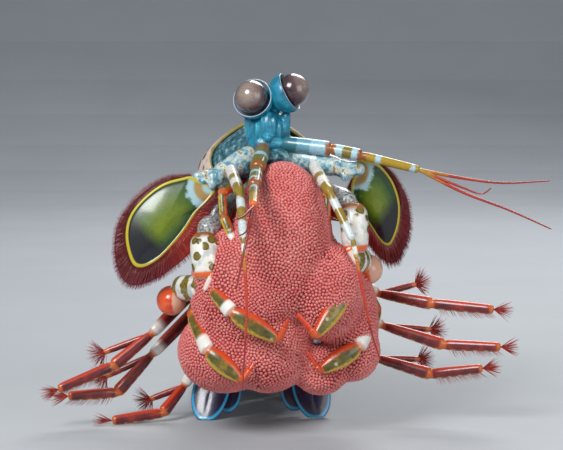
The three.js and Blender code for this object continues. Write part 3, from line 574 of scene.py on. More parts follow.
# %% Trunk finish
trunk_finish = Finish("mottled_trunk", roughness=0.42, coat=0.35)
spot = trunk_finish.spot()
height = trunk_finish.node("ShaderNodeSeparateXYZ", Vector=spot).outputs["Z"]
cloud = trunk_finish.noise(spot, 0.35, 4, 0.6)
grain = trunk_finish.noise(spot, 1.1, 5, 0.65)
rust = trunk_finish.ramp(cloud, [(0.35, (0.06, 0.03, 0.012)), (0.5, (0.20, 0.10, 0.05)),
                                 (0.66, CREAM)])
blue = trunk_finish.ramp(grain, [(0.36, (0.008, 0.04, 0.05)), (0.48, (0.02, 0.11, 0.14)),
                                 (0.58, (0.07, 0.2, 0.25)), (0.68, (0.38, 0.44, 0.40))])
colour = trunk_finish.mix(trunk_finish.span(height, 50, 57), rust, blue)
TRUNK = trunk_finish.paint(colour, grain, 0.15, 0.5)


# %% Trunk
def carapace_half_width(share):
    return 13.8 * (0.38 + 0.62 * math.sin(min(1, share * 2.4) * math.pi / 2))


def carapace_height(share):
    return blend(6.2, 9.0, min(1, share * 2))


CARAPACE_LENGTH = 26
trunk = bmesh.new()
rings = []
for share in (0.02, 0.08, 0.14, 0.2, 0.28, 0.37, 0.46, 0.6, 0.72, 0.86, 0.985):
    distance = share * CARAPACE_LENGTH
    rings.append((body_path.at(distance), body_path.along(distance),
                  carapace_half_width(share) - 1.25, carapace_height(share) - 1.25, share))
loft(trunk, rings, sides=36)
for centre, radii in [((0.3, 4, 60.3), (8.4, 8, 5)), ((1.2, -0.8, 56.4), (3.4, 4.4, 3.8)),
                      ((-5.2, 0.2, 58.6), (3.2, 4.6, 2.8)), ((6.6, 0.2, 58.2), (3.4, 4.4, 2.8)),
                      ((-0.4, -3.2, 60.6), (3.4, 2.4, 1.5))]:
    blob(trunk, at(*centre), radii)
piece("trunk", melt(trunk, 0.45, 4), TRUNK, ["cephalothorax"], levels=0)

# %% [markdown]
# ## Carapace and rostral plate
# The carapace is a saddle over the front of the body. It starts as a flat grid, bent round the
# body's axis by the same width and height as the solid. Its front corners carry rusty ovals on
# pinkish white, so every point stores how far it lies in such a wing.

# %% Shell finishes
def olive_shell(name, with_wings=False):
    finish = Finish(name, roughness=0.33, coat=0.55)
    spot = finish.spot()
    cloud = finish.noise(spot, 0.13, 4, 0.6)
    grain = finish.noise(spot, 1.5, 5, 0.62)
    speck = finish.cells(spot, 0.75)
    colour = finish.ramp(cloud, [(0.3, (0.022, 0.03, 0.008)), (0.48, (0.06, 0.08, 0.014)),
                                 (0.62, (0.12, 0.13, 0.025)), (0.75, (0.17, 0.10, 0.02))])
    colour = finish.over(colour, grain, [(0.5, 0.0), (0.72, 0.55)], (0.19, 0.09, 0.02))
    colour = finish.over(colour, speck, [(0.08, 0.5), (0.24, 0.0)], (0.015, 0.018, 0.008))
    rim = finish.number("along")
    if with_wings:
        leopard = finish.ramp(finish.cells(finish.spot(scale=(1, 1, 0.5)), 0.5, 0.7),
                              [(0.0, (0.09, 0.03, 0.008)), (0.3, (0.17, 0.07, 0.015)),
                               (0.4, (0.62, 0.50, 0.42)), (1.0, (0.66, 0.58, 0.52))])
        colour = finish.mix(finish.number("mark"), colour, leopard)
        edge = finish.ramp(rim, [(0.0, 0.8), (0.03, 0.0), (0.97, 0.0), (1.0, 0.6)])
        colour = finish.mix(edge, colour, (0.35, 0.26, 0.06))
    else:
        colour = finish.over(colour, rim, [(0.70, 0.0), (0.82, 0.75), (0.93, 0.85), (0.97, 0.15)],
                             (0.25, 0.035, 0.01))
        colour = finish.over(colour, rim, [(0.955, 0.0), (0.985, 0.6)], (0.35, 0.30, 0.05))
    return finish.paint(colour, grain, 0.08, 0.45)


SHIELD = olive_shell("carapace_shell", with_wings=True)
BACK = olive_shell("segment_shell")


# %% Bend a grid into a plate
def plate(columns, rows, place, numbers):
    bm = bmesh.new()
    layer = layers_of(bm)
    bmesh.ops.create_grid(bm, x_segments=columns, y_segments=rows, size=1)
    for vert in bm.verts:
        u, v = vert.co.x, vert.co.y
        for name, value in numbers(u, v).items():
            vert[layer[name]] = value
        vert.co = to_frame(place(u, v))
    return bm


def carapace_place(u, v):
    share = blend(0.3 * abs(u) ** 1.6, 1, (1 - v) / 2)
    distance = share * CARAPACE_LENGTH
    angle = u * math.radians(125)
    groove = 0.3 * math.exp(-((abs(u) - 0.26) / 0.035) ** 2) - 0.3 * math.exp(-(u / 0.05) ** 2)
    return (body_path.at(distance) + X * (carapace_half_width(share) * math.sin(angle))
            + dorsal_at(distance) * ((carapace_height(share) - groove) * math.cos(angle)))


def carapace_numbers(u, v):
    wing = min(1, max(0, (abs(u) - 0.42) / 0.16)) * min(1, max(0, (v + 0.15) / 0.3))
    return {"along": (1 - v) / 2, "edge": u, "mark": wing}


piece("carapace_shell", plate(56, 32, carapace_place, carapace_numbers), SHIELD,
      ["carapace"], wall=0.9)


# %% Rostral plate
def rostral_place(u, v):
    reach = (v + 1) / 2
    half_width = blend(4.2, 1.2, max(0, reach) ** 1.4)
    ridge = 0.35 * math.exp(-(u / 0.2) ** 2)
    height = blend(68.9, 72.6, reach) - 0.9 * u * u + ridge
    return at(-1.2 + u * half_width, blend(13.2, 7.6, reach), height)


piece("rostral_shield", plate(14, 12, rostral_place, lambda u, v: {"along": 0.5, "mark": 0.0}),
      SHIELD, ["rostral_plate"], wall=0.8)

# %% [markdown]
# ## Thorax and abdomen
# Nine arched segments follow each other like roof tiles. Each hind rim overlaps the next front by
# a few tenths of a millimetre, and it carries a rusty band with a pale edge.

# %% Segments
def arched(c, s):
    if s <= 0:
        return c, s
    return c, 0.68 * min(1, s / 0.42) * (1 - 0.32 * s * s)


TILE = [(-0.03, 0.87), (0.0, 0.915), (0.08, 0.945), (0.2, 0.967), (0.5, 0.985), (0.8, 1.0),
        (0.93, 1.01), (0.985, 1.005), (1.0, 0.975), (0.99, 0.94)]
segments = [(f"thorax_{k + 6}", 5.5, width, 7.3) for k, width in enumerate((11.2, 11.8, 12.3))]
segments += [(f"abdomen_{k + 1}", length, width, 7.6) for k, (length, width) in enumerate(
    zip((9, 10, 10, 10.5, 11.5, 9), (12.8, 13.3, 13.6, 13.8, 13.8, 12.6)))]
reached = CARAPACE_LENGTH
for node, length, half_width, tall in segments:
    bm = bmesh.new()
    rings = []
    for t, size in TILE:
        distance = reached + 0.18 + t * (length + 0.1)
        rings.append((body_path.at(distance), body_path.along(distance), half_width * size,
                      tall * size, max(0, t)))
    loft(bm, rings, sides=44, shape=arched)
    piece(node + "_shell", bm, BACK, [node])
    reached += length
print("body length without tail fan in mm:", round(reached, 1))

# %% [markdown]
# ## Telson
# The telson is her shield when she plugs her burrow with her tail. Five ridges run down it and
# stout teeth arm its margin.

# %% Telson
TELSON_LENGTH = 21.5
telson_root = body_path.at(reached) + at(0, 0.6, 0.4)
telson_tip = telson_root + at(0.8, TELSON_LENGTH * 0.7, -TELSON_LENGTH * 0.72)
telson_up = X.cross(telson_tip - telson_root).normalized()


def telson_place(u, v):
    reach = (1 - v) / 2
    half_width = 8.6 + 3.4 * math.sin(math.pi * min(1, reach * 1.25)) - 3.2 * reach ** 3
    ridge = max(math.exp(-((u - r) / 0.075) ** 2) for r in (0, 0.36, -0.36, 0.72, -0.72))
    ripple = 0.12 * math.sin(reach * 24) * math.exp(-(u / 0.2) ** 2)
    lift = 1.6 - 2.2 * u * u + (0.75 * ridge + ripple) * (1 - min(1, abs(v)) ** 6)
    return blend(telson_root, telson_tip, reach) + X * (u * half_width) + telson_up * lift


telson = plate(52, 34, telson_place, lambda u, v: {"along": 0.45 + 0.5 * (1 - v) / 2, "edge": u})
piece("tail_shield", telson, BACK, ["telson"], wall=1.3)

# %% Telson teeth
tooth_finish = Finish("orange_teeth", roughness=0.3, coat=0.6)
tip = tooth_finish.number("along")
colour = tooth_finish.ramp(tip, [(0.0, (0.16, 0.07, 0.01)), (0.5, RED), (1.0, ORANGE)])
TEETH = tooth_finish.paint(colour, tooth_finish.noise(tooth_finish.spot(), 3), 0.05, 0.3)
teeth = bmesh.new()
for k in (0, 2, 4, 6, 7, 9, 11, 13):
    across = (k + 0.5) / 7 - 1
    root = telson_place(across, -0.97)
    tip = telson_place(across * 0.99, -1.22)
    tip.z = max(tip.z, 0.35)
    stout = 0.95 if k in (0, 4, 9, 13) else 0.7
    article(teeth, root, tip, (stout, stout * 0.5), flat=0.9, side=X, sides=10,
            profile=[(0, 1), (0.3, 0.95), (0.6, 0.75), (0.85, 0.45), (1, 0.12)])
piece("telson_teeth", teeth, TEETH)

# %% [markdown]
# ## Setae: three bristles, stamped many times
# Fringes of bristles, called setae, edge the paddles and the legs. Three small bristles are made of
# three-sided rings, each bent more to one side. One of them is stamped at every root. The map
# OFBake gives each bristle a small patch at its root's place, so that a bake keeps its colour.

# %% Three bristles
def bristle(bend, stout):
    bm = bmesh.new()
    share_layer = bm.verts.layers.float.new("along")
    loops = []
    for share, width in ((0, 1.0), (0.35, 0.85), (0.7, 0.55), (1, 0.12)):
        circle, edges = ring(bm, 3, stout * width)
        loops.append(edges)
        for vert in circle:
            vert.co += Vector((bend * share ** 2, 0, share))
            vert[share_layer] = share
    bridge(bm, loops, (loops[0], loops[-1]))
    bmesh.ops.recalc_face_normals(bm, faces=bm.faces)
    mesh = bpy.data.meshes.new("bristle")
    bm.to_mesh(mesh)
    bm.free()
    return mesh


FINE = [bristle(bend, 0.022) for bend in (0.05, 0.14, 0.24)]


def triangles(mesh):
    return sum(len(face.vertices) - 2 for face in mesh.polygons)


print("triangles in one bristle:", triangles(FINE[0]))


# %% Stamp bristles at their roots
PATCH_RADIUS = 0.0015


def bake_patches(mesh, marks, margin):
    """Give each stamped shape a patch of the map OFBake, at its root's place."""
    corners = []
    for (u, v), count in marks:
        for k in range(count):
            angle = math.tau * k / count
            corners.append(margin + (1 - 2 * margin) * u + PATCH_RADIUS * math.cos(angle))
            corners.append(margin + (1 - 2 * margin) * v + PATCH_RADIUS * math.sin(angle))
    mesh.uv_layers.new(name="OFBake").data.foreach_set("uv", corners)


def stamp(name, roots, kinds, finish):
    """roots holds (root, way, bend towards, length, (u, v), tone) in millimetres."""
    bm = bmesh.new()
    tones, marks = [], []
    for root, way, towards, length, mark, tone in roots:
        kind = random.choice(kinds)
        way = way.normalized()
        flat = way.cross(towards).normalized()
        turn = Matrix((flat.cross(way), flat, way)).transposed().to_4x4()
        place = Matrix.Translation(to_frame(root)) @ turn @ Matrix.Scale(length * 0.001, 4)
        kind.transform(place)
        bm.from_mesh(kind)
        kind.transform(place.inverted())
        tones += [tone] * len(kind.vertices)
        marks.append((mark, len(kind.loops)))
    mesh = bpy.data.meshes.new(name)
    bm.to_mesh(mesh)
    bm.free()
    piece(name, mesh, finish, levels=0)
    mesh.attributes.new("tone", "FLOAT", "POINT").data.foreach_set("value", tones)
    bake_patches(mesh, marks, margin=0.004)
    print(name, "bristles:", len(marks), "triangles:", triangles(mesh))


# %% Bristle finishes
def bristle_finish(name, root, middle, tip):
    finish = Finish(name, roughness=0.45, coat=0.2)
    along = finish.ramp(finish.number("along"), [(0.0, root), (0.5, middle), (1.0, tip)])
    return finish.paint(finish.mix(finish.number("tone"), along, (0.50, 0.03, 0.008)))


FRINGE = bristle_finish("paddle_fringe", (0.10, 0.004, 0.004), (0.17, 0.006, 0.008),
                        (0.26, 0.015, 0.05))
LEG_BRISTLES = bristle_finish("leg_bristles", (0.30, 0.015, 0.006), (0.24, 0.01, 0.008),
                              (0.4, 0.03, 0.01))
TAIL_FRINGE = bristle_finish("tail_fringe", (0.30, 0.012, 0.006), (0.22, 0.008, 0.008),
                             (0.3, 0.05, 0.02))

# %% [markdown]
# ## Paddles of the antennae
# The great oval paddles signal to other shrimps. Rings of a disc are stretched to the measured
# outline and domed. Past the rim the disc goes on as a thin red membrane, with dense setae on it.

# %% Paddle finish
def paddle_finish(tag, base, dark_way, dark_from):
    finish = Finish(f"paddle_{tag}", roughness=0.3, coat=0.5)
    spot = finish.spot()
    reach = finish.number("along")
    grain = finish.noise(spot, 3.2, 4, 0.65)
    cloud = finish.noise(spot, 0.22, 3)
    toward_dark = finish.vector("DOT_PRODUCT", finish.spot(), dark_way)
    edge = finish.plus(reach, finish.times(cloud, 0.5))
    green = finish.ramp(edge, [(0.2, (0.17, 0.22, 0.003)), (0.6, (0.105, 0.16, 0.003)),
                               (0.95, (0.03, 0.085, 0.004)), (1.15, (0.012, 0.045, 0.004))])
    green = finish.over(green, grain, [(0.45, 0.0), (0.75, 0.55)], (0.018, 0.05, 0.003))
    ragged = finish.plus(toward_dark, finish.times(grain, 1.4))
    dark_end = finish.span(ragged, dark_from - 0.6, dark_from + 2.2)
    green = finish.mix(dark_end, green, (0.003, 0.004, 0.007))
    away = finish.vector("DISTANCE", finish.spot(), tuple(base))
    blotch = finish.plus(away, finish.times(finish.noise(spot, 0.5, 3), 5.0))
    patch = finish.ramp(finish.times(blotch, 0.1), [(0.66, 1.0), (0.8, 0.0)])
    green = finish.mix(patch, green, (0.34, 0.52, 0.56))
    loop = finish.ramp(finish.times(away, 0.1), [(0.1, 0.0), (0.2, 0.9), (0.3, 0.9), (0.38, 0.0)])
    green = finish.mix(loop, green, (0.36, 0.19, 0.01))
    rim = finish.ramp(reach, [(0.925, 0.0), (0.95, 1.0), (0.985, 1.0), (1.0, 0.0)], "LINEAR")
    green = finish.mix(rim, green, (0.50, 0.40, 0.012))
    rays = finish.math("SINE", finish.times(finish.number("turn"), 900.0))
    ray = finish.ramp(rays, [(0.2, 0.0), (0.9, 0.6)])
    red = finish.mix(ray, (0.11, 0.004, 0.004), (0.21, 0.008, 0.006))
    red = finish.mix(finish.number("mark"), red, (0.48, 0.022, 0.006))
    colour = finish.mix(finish.span(reach, 1.0, 1.03), green, red)
    height = finish.mix(finish.span(reach, 1.0, 1.03), grain, rays)
    return finish.paint(colour, height, 0.05, 0.35)


# %% Build a paddle and its fringe
PADDLE_SIDES = 120
SETAE_PER_LAYER = 900
PADDLE_RINGS = (0.12, 0.3, 0.5, 0.68, 0.82, 0.9, 0.945, 0.975, 1.0, 1.25, 1.5, 1.8)


def paddle(tag, outline, crown, locks, inner_turn, base, dark_way, dark_from):
    rim = Path([at(*spot) for spot in (*outline, outline[0])], 400)
    centre = sum((at(*spot) for spot in outline), Vector()) / len(outline)
    normal = (at(*outline[0]) - centre).cross(at(*outline[3]) - centre).normalized()
    if normal.y > 0:
        normal = -normal

    def lock_at(turn):
        spot = turn % 1 * (len(locks) - 1)
        k = min(int(spot), len(locks) - 2)
        return blend(locks[k], locks[k + 1], spot - k)

    def place(turn, reach):
        edge = rim.at(turn % 1 * rim.length)
        if reach <= 1:
            lift = crown * (1 - reach * reach) + 0.35 * math.exp(-((reach - 0.965) / 0.03) ** 2)
            return blend(centre, edge, reach) + normal * lift
        past = (reach - 1) * lock_at(turn)
        return edge + (edge - centre).normalized() * past - Z * (0.12 * past)

    def inner(turn):
        return max(0.0, 1 - abs((turn - inner_turn + 0.5) % 1 - 0.5) / 0.17)

    bm = bmesh.new()
    layer = layers_of(bm)
    loops = []
    for reach in PADDLE_RINGS:
        circle, edges = ring(bm, PADDLE_SIDES)
        loops.append(edges)
        for vert in circle:
            turn = math.atan2(vert.co.y, vert.co.x) / math.tau % 1
            vert[layer["along"]], vert[layer["turn"]] = reach, turn
            vert[layer["mark"]] = inner(turn)
            vert.co = to_frame(place(turn, reach))
    bridge(bm, loops, loops[:1])
    piece(f"paddle_{tag}", bm, paddle_finish(tag, base, dark_way, dark_from),
          [f"antennal_scale_{tag}"], wall=0.3)
    roots = []
    count = SETAE_PER_LAYER
    for k in range(count * 2):
        turn = (k + random.random()) / count % 1
        length = lock_at(turn)
        if length < 0.3:
            continue
        start = 1.0 if k < count else random.uniform(1.2, 1.75)
        root = place(turn, start)
        way = (place(turn + random.uniform(-0.004, 0.004), 2.0) - place(turn, 1.0)).normalized()
        reach = length * (2.02 - start) * random.uniform(0.93, 1.08)
        lift = normal * (0.3 if k < count else random.choice((-0.22, 0.22)))
        mark = (0.5 + 0.45 * math.cos(math.tau * turn), 0.5 + 0.45 * math.sin(math.tau * turn))
        roots.append((root + lift * 0.5, way, normal * random.choice((-1, 1)), max(0.7, reach),
                      mark, 0.75 * inner(turn) * random.uniform(0.5, 1)))
    stamp(f"paddle_fringe_{tag}", roots, FINE, FRINGE)


# %% Both paddles
paddle("r", [(-17.4, -4.6, 56.7), (-23.2, -4.9, 55), (-28, -5.6, 51.3), (-30.4, -6.1, 48),
             (-31.2, -6.7, 44.7), (-30.8, -7.4, 40.8), (-29.3, -8, 37.5), (-27.5, -8, 37.2),
             (-24.4, -7.8, 38.8), (-21.4, -7.2, 41.7), (-18.5, -6.6, 45.2), (-15.9, -5.9, 49.1),
             (-13.6, -5.6, 51.3), (-11.9, -5.1, 53.9)], 1.2,
       [0.8, 1.7, 1.9, 2.1, 3, 4.4, 5, 5, 4.8, 4.4, 3.4, 0, 0], 0.72, at(-13.2, -5, 54.2),
       (-0.7, 0, -0.71), -13.4)
paddle("l", [(19.2, -3.6, 60.4), (23, -3.3, 59.6), (26.2, -2.1, 56.3), (28, -0.7, 52.1),
             (28.5, 0.7, 48.3), (27.8, 2.4, 43.5), (26.3, 3.4, 40.7), (24.9, 3.2, 41.3),
             (22.7, 2.1, 44.4), (20.8, 1, 47.4), (18.9, -0.3, 51), (17.8, -1.1, 53.3)], 1.1,
       [0.7, 1.1, 1.6, 2, 2.8, 4.4, 5.4, 5, 4.2, 3, 1.6, 0, 0], 0.66, at(18.2, -2.6, 57.6),
       (0.81, 0, -0.59), -8.4)

# %% [markdown]
# ## Antennules
# Three stout articles and three threads make each antennule. Bands of pale blue and white cross the
# olive articles, with orange rings at the joints. A little noise on the number along the limb makes
# the bands uneven, as real ones are.

# %% Banded limb finish
def banded(name, bands, speckle=None, roughness=0.34, along_scale=0.25):
    finish = Finish(name, roughness=roughness, coat=0.5)
    spot = finish.spot()
    grain = finish.noise(spot, 2.4, 4, 0.6)
    wobble = finish.times(finish.math("SUBTRACT", finish.noise(spot, 0.7, 3), 0.5), 0.16)
    along = finish.times(finish.plus(finish.number("along"), wobble), along_scale)
    stops = []
    for k, (start, colour) in enumerate(bands):
        if k:
            stops.append((max(0.0, start * along_scale - 0.004), bands[k - 1][1]))
        stops.append((start * along_scale + (0.004 if k else 0), colour))
    colour = finish.ramp(along, stops, "LINEAR")
    colour = finish.over(colour, grain, [(0.46, 0.0), (0.75, 0.5)], (0.07, 0.05, 0.008))
    if speckle:
        dots = finish.cells(spot, 0.6)
        colour = finish.over(colour, dots, [(0.14, 0.8), (0.2, 0.0)], speckle)
    rings = finish.math("SINE", finish.times(finish.number("along"), 260.0))
    height = finish.mix(finish.span(finish.number("mark"), 0.4, 0.6), grain, rings)
    return finish.paint(colour, height, 0.07, 0.4)


BLUE_WHITE = (0.38, 0.58, 0.66)
RUST = (0.30, 0.085, 0.006)
AMBER = (0.38, 0.24, 0.01)
ANTENNULE_L = banded("antennule_left", [(0.0, (0.02, 0.16, 0.2)), (0.35, (0.12, 0.33, 0.42)),
                                        (0.62, (0.28, 0.5, 0.62)), (0.94, RUST), (1.14, BLUE_WHITE),
                                        (1.42, OLIVE), (1.72, BLUE_WHITE), (1.9, RUST),
                                        (2.1, AMBER), (2.22, BLUE_WHITE), (2.34, AMBER),
                                        (2.86, BLUE_WHITE), (2.93, AMBER),
                                        (3.12, (0.45, 0.14, 0.008)), (3.24, (0.40, 0.02, 0.006)),
                                        (3.5, (0.30, 0.01, 0.006))])
ANTENNULE_R = banded("antennule_right", [(0.0, RUST), (0.25, OLIVE), (0.5, BLUE_WHITE),
                                         (0.62, OLIVE), (0.92, RUST), (1.1, OLIVE),
                                         (1.3, BLUE_WHITE), (1.45, OLIVE), (1.7, BLUE_WHITE),
                                         (1.82, RUST), (2.08, BLUE_WHITE), (2.18, OLIVE),
                                         (2.5, AMBER), (2.9, ORANGE), (3.06, (0.50, 0.03, 0.006)),
                                         (3.3, (0.26, 0.01, 0.006))])


# %% Antennules
def antennule(tag, joints, threads, finish):
    bm = bmesh.new()
    limb(bm, joints, [(1.9, 1.65), (1.45, 1.35), (1.15, 0.9)], sides=14)
    for points in threads:
        thread(bm, [joints[-1] - (points[0] - joints[-1]) * 0.1, *points], 0.5, 0.16, first=3,
               mark=1)
    piece(f"antennule_{tag}_banded", bm, finish, [f"antennule_{tag}"])


antennule("l", row((2.4, -1.4, 63.6), (13.2, -5, 62.6), (19.7, -6.4, 61.3), (32.2, -8, 58.3)),
          [row((42, -8, 56.4), (50, -8.6, 55.5), (60.3, -9, 56)),
           row((41.5, -10, 54.6), (45.5, -11.4, 53.4), (47.4, -12, 54.8)),
           row((41.4, -9.6, 53.6), (51, -11.5, 50), (60.2, -14, 46))], ANTENNULE_L)
antennule("r", row((-1.4, -2, 62.8), (-2.7, -14, 58.9), (-3.2, -22, 55.9), (-3.2, -33, 52.9)),
          [row((-4, -36.5, 52.3), (-5.2, -39.5, 51.4), (-7.2, -42, 50.9)),
           row((-3.8, -37, 51), (-4.7, -39.5, 48.2), (-6.1, -40.5, 47.6)),
           row((-4.1, -37, 48.4), (-5.2, -39, 43.5), (-6.6, -39, 36.5))], ANTENNULE_R)

# %% [markdown]
# ## Antennae
# Each antenna has a thick root that also carries the paddle, a knobbly hinge, and a banded arm with
# a red thread that hangs in front of the clutch.

# %% Antenna finishes
ARM_BANDS = [(0.0, WHITE), (0.42, (0.30, 0.20, 0.02)), (0.55, WHITE), (0.8, (0.30, 0.20, 0.02)),
             (1.12, (0.62, 0.7, 0.7)), (1.36, (0.28, 0.19, 0.015)), (1.66, (0.62, 0.7, 0.7)),
             (2.0, (0.28, 0.19, 0.015)), (2.35, WHITE), (2.8, (0.5, 0.36, 0.06)),
             (3.0, (0.60, 0.16, 0.01)), (3.12, (0.56, 0.028, 0.006)), (3.6, (0.34, 0.01, 0.006))]
ANTENNA_ARM = banded("antenna_arm", ARM_BANDS)
hinge_finish = Finish("paddle_hinge", roughness=0.35, coat=0.45)
spot = hinge_finish.spot()
patches = hinge_finish.noise(spot, 0.55, 4, 0.65)
colour = hinge_finish.ramp(patches, [(0.30, (0.015, 0.09, 0.12)), (0.42, (0.10, 0.26, 0.32)),
                                     (0.5, (0.30, 0.46, 0.52)), (0.58, (0.60, 0.62, 0.52)),
                                     (0.64, (0.26, 0.16, 0.02)), (0.72, (0.5, 0.5, 0.4))])
HINGE = hinge_finish.paint(colour, hinge_finish.noise(spot, 1.6, 4), 0.2, 0.6)


# %% Antennae
HINGE_KNOBS = [(0, 0, 0, (2.1, 2.0, 2.1)), (1.7, -0.6, 0.9, (1.5, 1.2, 0.9)),
               (2.0, -0.8, -0.7, (1.6, 1.0, 0.8)), (0.2, -1.5, -1.4, (1.0, 0.8, 1.3)),
               (-1.4, -1.6, 0.4, (0.9, 0.8, 1.6)), (3.4, -0.2, 0.0, (1.3, 0.8, 1.5))]


def antenna(tag, root, ball, arm, hanging, side):
    hinge = bmesh.new()
    bow = blend(root, ball, 0.45) + at(0, -0.4, 0.3) - blend(root, ball, 0.5)
    article(hinge, root, ball, (3.1, 2.1), sides=20, bow=bow)
    for out, ahead, up, radii in HINGE_KNOBS:
        blob(hinge, ball + at(side * out, ahead, up), radii)
    piece(f"paddle_hinge_{tag}", melt(hinge, 0.26, 2), HINGE, levels=0)
    bm = bmesh.new()
    limb(bm, [*arm, hanging[0]], [(1.5, 1.15), (1.05, 0.85), (0.62, 0.5)], sides=14)
    thread(bm, hanging, 0.45, 0.14, rings=32, first=3, mark=1)
    piece(f"antenna_arm_{tag}", bm, ANTENNA_ARM, [f"antenna_{tag}"])


antenna("r", at(-2.4, 0.5, 61), at(-12.2, -4, 56.2),
        row((-8.6, -4.4, 58.4), (-6.2, -20, 54.3), (-5.4, -27.5, 45.8)),
        row((-5.2, -28.3, 42), (-4.7, -28.4, 31), (-5.2, -27.2, 21), (-5.7, -26, 13.6)), RIGHT)
antenna("l", at(4.6, 0.5, 60.4), at(16, -4, 58.2),
        row((9.4, -3.4, 59), (12.7, -17.5, 54.2), (17.4, -23, 44.8)),
        row((18.2, -23.5, 41), (19.9, -23, 32), (21.6, -20.5, 24.5), (23.6, -18, 18.2)), LEFT)

# %% [markdown]
# ## Raptorial claws
# The second limbs are her hammers. White articles with ringed olive spots fold against each other,
# and the orange-red heel at the end of the last one strikes. The silver saddle on the first article
# is the spring that stores the strike.

# %% Claw finishes
def claw_finish(name, kind):
    finish = Finish(name, roughness=0.26, coat=0.6)
    spot = finish.spot()
    along = finish.number("along")
    grain = finish.noise(spot, 1.8, 4, 0.6)
    cloud = finish.noise(spot, 0.45, 3)
    white = finish.ramp(cloud, [(0.35, (0.50, 0.52, 0.50)), (0.55, WHITE),
                                (0.75, (0.72, 0.66, 0.52))])
    ringed = finish.plus(finish.cells(spot, 0.36, 0.85), finish.times(grain, 0.16))
    spots = finish.ramp(ringed, [(0.0, (0.10, 0.08, 0.01)), (0.3, (0.19, 0.14, 0.012)),
                                 (0.4, (0.045, 0.03, 0.006)), (0.46, (0.42, 0.34, 0.1))], "LINEAR")
    shown = finish.ramp(ringed, [(0.4, 1.0), (0.5, 0.0)])
    if kind == "merus":
        saddle = finish.plus(finish.number("edge"), finish.times(cloud, 0.9))
        silver = finish.ramp(grain, [(0.35, (0.07, 0.09, 0.10)), (0.5, (0.30, 0.32, 0.32)),
                                     (0.65, (0.6, 0.6, 0.56))])
        red = finish.ramp(grain, [(0.3, (0.34, 0.012, 0.006)), (0.55, RED), (0.8, ORANGE)])
        colour = finish.mix(finish.span(saddle, 0.5, 0.75), red, silver)
    elif kind == "carpus":
        colour = finish.mix(shown, white, spots)
        colour = finish.over(colour, along, [(0.0, 1.0), (0.1, 1.0), (0.22, 0.0)],
                             (0.28, 0.09, 0.01))
        colour = finish.over(colour, along, [(0.8, 0.0), (0.86, 1.0), (0.93, 1.0), (1.0, 0.2)],
                             ORANGE)
    elif kind == "propodus":
        bands = finish.math("SINE", finish.times(finish.plus(along, finish.times(cloud, 0.25)),
                                                 17.0))
        olive = finish.ramp(grain, [(0.35, (0.10, 0.07, 0.008)), (0.6, (0.25, 0.19, 0.02))])
        colour = finish.over(olive, bands, [(0.1, 0.0), (0.45, 1.0)], white)
    else:
        toward = finish.number("edge")
        heel = finish.ramp(cloud, [(0.3, (0.56, 0.04, 0.008)), (0.55, (0.74, 0.09, 0.012)),
                                   (0.8, (0.78, 0.17, 0.02))])
        pale = finish.plus(toward, finish.times(cloud, 0.5))
        colour = finish.over(heel, pale, [(0.3, 0.0), (0.7, 0.8)], (0.74, 0.46, 0.33))
    return finish.paint(colour, grain, 0.06, 0.35)


MERUS = claw_finish("claw_merus", "merus")
CARPUS = claw_finish("claw_carpus", "carpus")
PROPODUS = claw_finish("claw_propodus", "propodus")
HEEL = claw_finish("claw_heel", "dactyl")


# %% Claws
KNOB = [(0, 0.2), (0.06, 0.52), (0.2, 0.84), (0.36, 0.98), (0.5, 1.0), (0.64, 0.97), (0.8, 0.82),
        (0.94, 0.5), (1, 0.2)]


def claw(tag, side, shoulder, saddle, wrist, palm, heel):
    bm = bmesh.new()
    article(bm, shoulder, saddle, (3.5, 3.8), flat=0.8, side=Z, sides=22)
    article(bm, shoulder + at(side * 1.6, -8, -3.4), saddle + at(side * 2.2, 1.2, -2.4), (1.8, 1.5))
    for k in range(5):
        crease = blend(shoulder, saddle, 0.5 + 0.1 * k) + at(side * 2.6, -0.4, 1.6 - 0.5 * k)
        article(bm, crease, crease + at(side * 0.5, -0.6, -2.6), (0.5, 0.35), sides=8)
    piece(f"merus_{tag}_hammer_arm", bm, MERUS, [f"merus_{tag}"])
    bm = bmesh.new()
    article(bm, saddle + at(side * 0.3, -2.2, 0.8), wrist, (3.2, 2.8), flat=0.88, side=X, sides=22,
            bow=at(0, -1, 0))
    article(bm, blend(saddle, wrist, 0.9) + at(side * -1.6, -2.2, 0.6),
            wrist + at(side * 0.3, -2.4, -2.0), (0.9, 0.5), flat=0.7, first=0.75)
    piece(f"carpus_{tag}_spotted", bm, CARPUS, [f"carpus_{tag}"])
    bm = bmesh.new()
    article(bm, wrist + at(side * -0.8, 0.8, -1.2), palm, (2.85, 2.75), flat=0.85, side=Z, sides=22,
            bow=at(0, 0, -0.5))
    for t in (0.3, 0.5, 0.7):
        foot = blend(wrist, palm, t) + at(0, 1, -1.6)
        article(bm, foot, foot + at(side * 0.3, 1.5, -1.3), (0.5, 0.15), sides=8, first=t)
    piece(f"propodus_{tag}_banded", bm, PROPODUS, [f"propodus_{tag}"])
    bm = bmesh.new()
    article(bm, heel + at(side * -0.8, 1.2, 0.4), wrist + at(side * 1.2, 5, -3), (1.7, 0.5),
            flat=0.6, bow=at(0, 1.2, -0.6))
    article(bm, heel + at(0, 3.2, 0), heel - at(0, 3.2, 0), (3.35, 3.35), side=X, sides=24,
            profile=KNOB, bow=at(0, 0, -0.3))
    piece(f"dactyl_{tag}_heel", bm, HEEL, [f"dactyl_{tag}"])


claw("r", RIGHT, at(-8.6, 12, 50), at(-13.9, -8.4, 43.9), at(-13.6, -14, 35.2),
     at(-20.4, -4.4, 32.4), at(-21.6, -4, 29.6))
claw("l", LEFT, at(6.4, 12, 52), at(17.6, -7.2, 50.2), at(18.4, -12.4, 40.6), at(20.6, -3.6, 38.4),
     at(21.4, -3.4, 36.4))

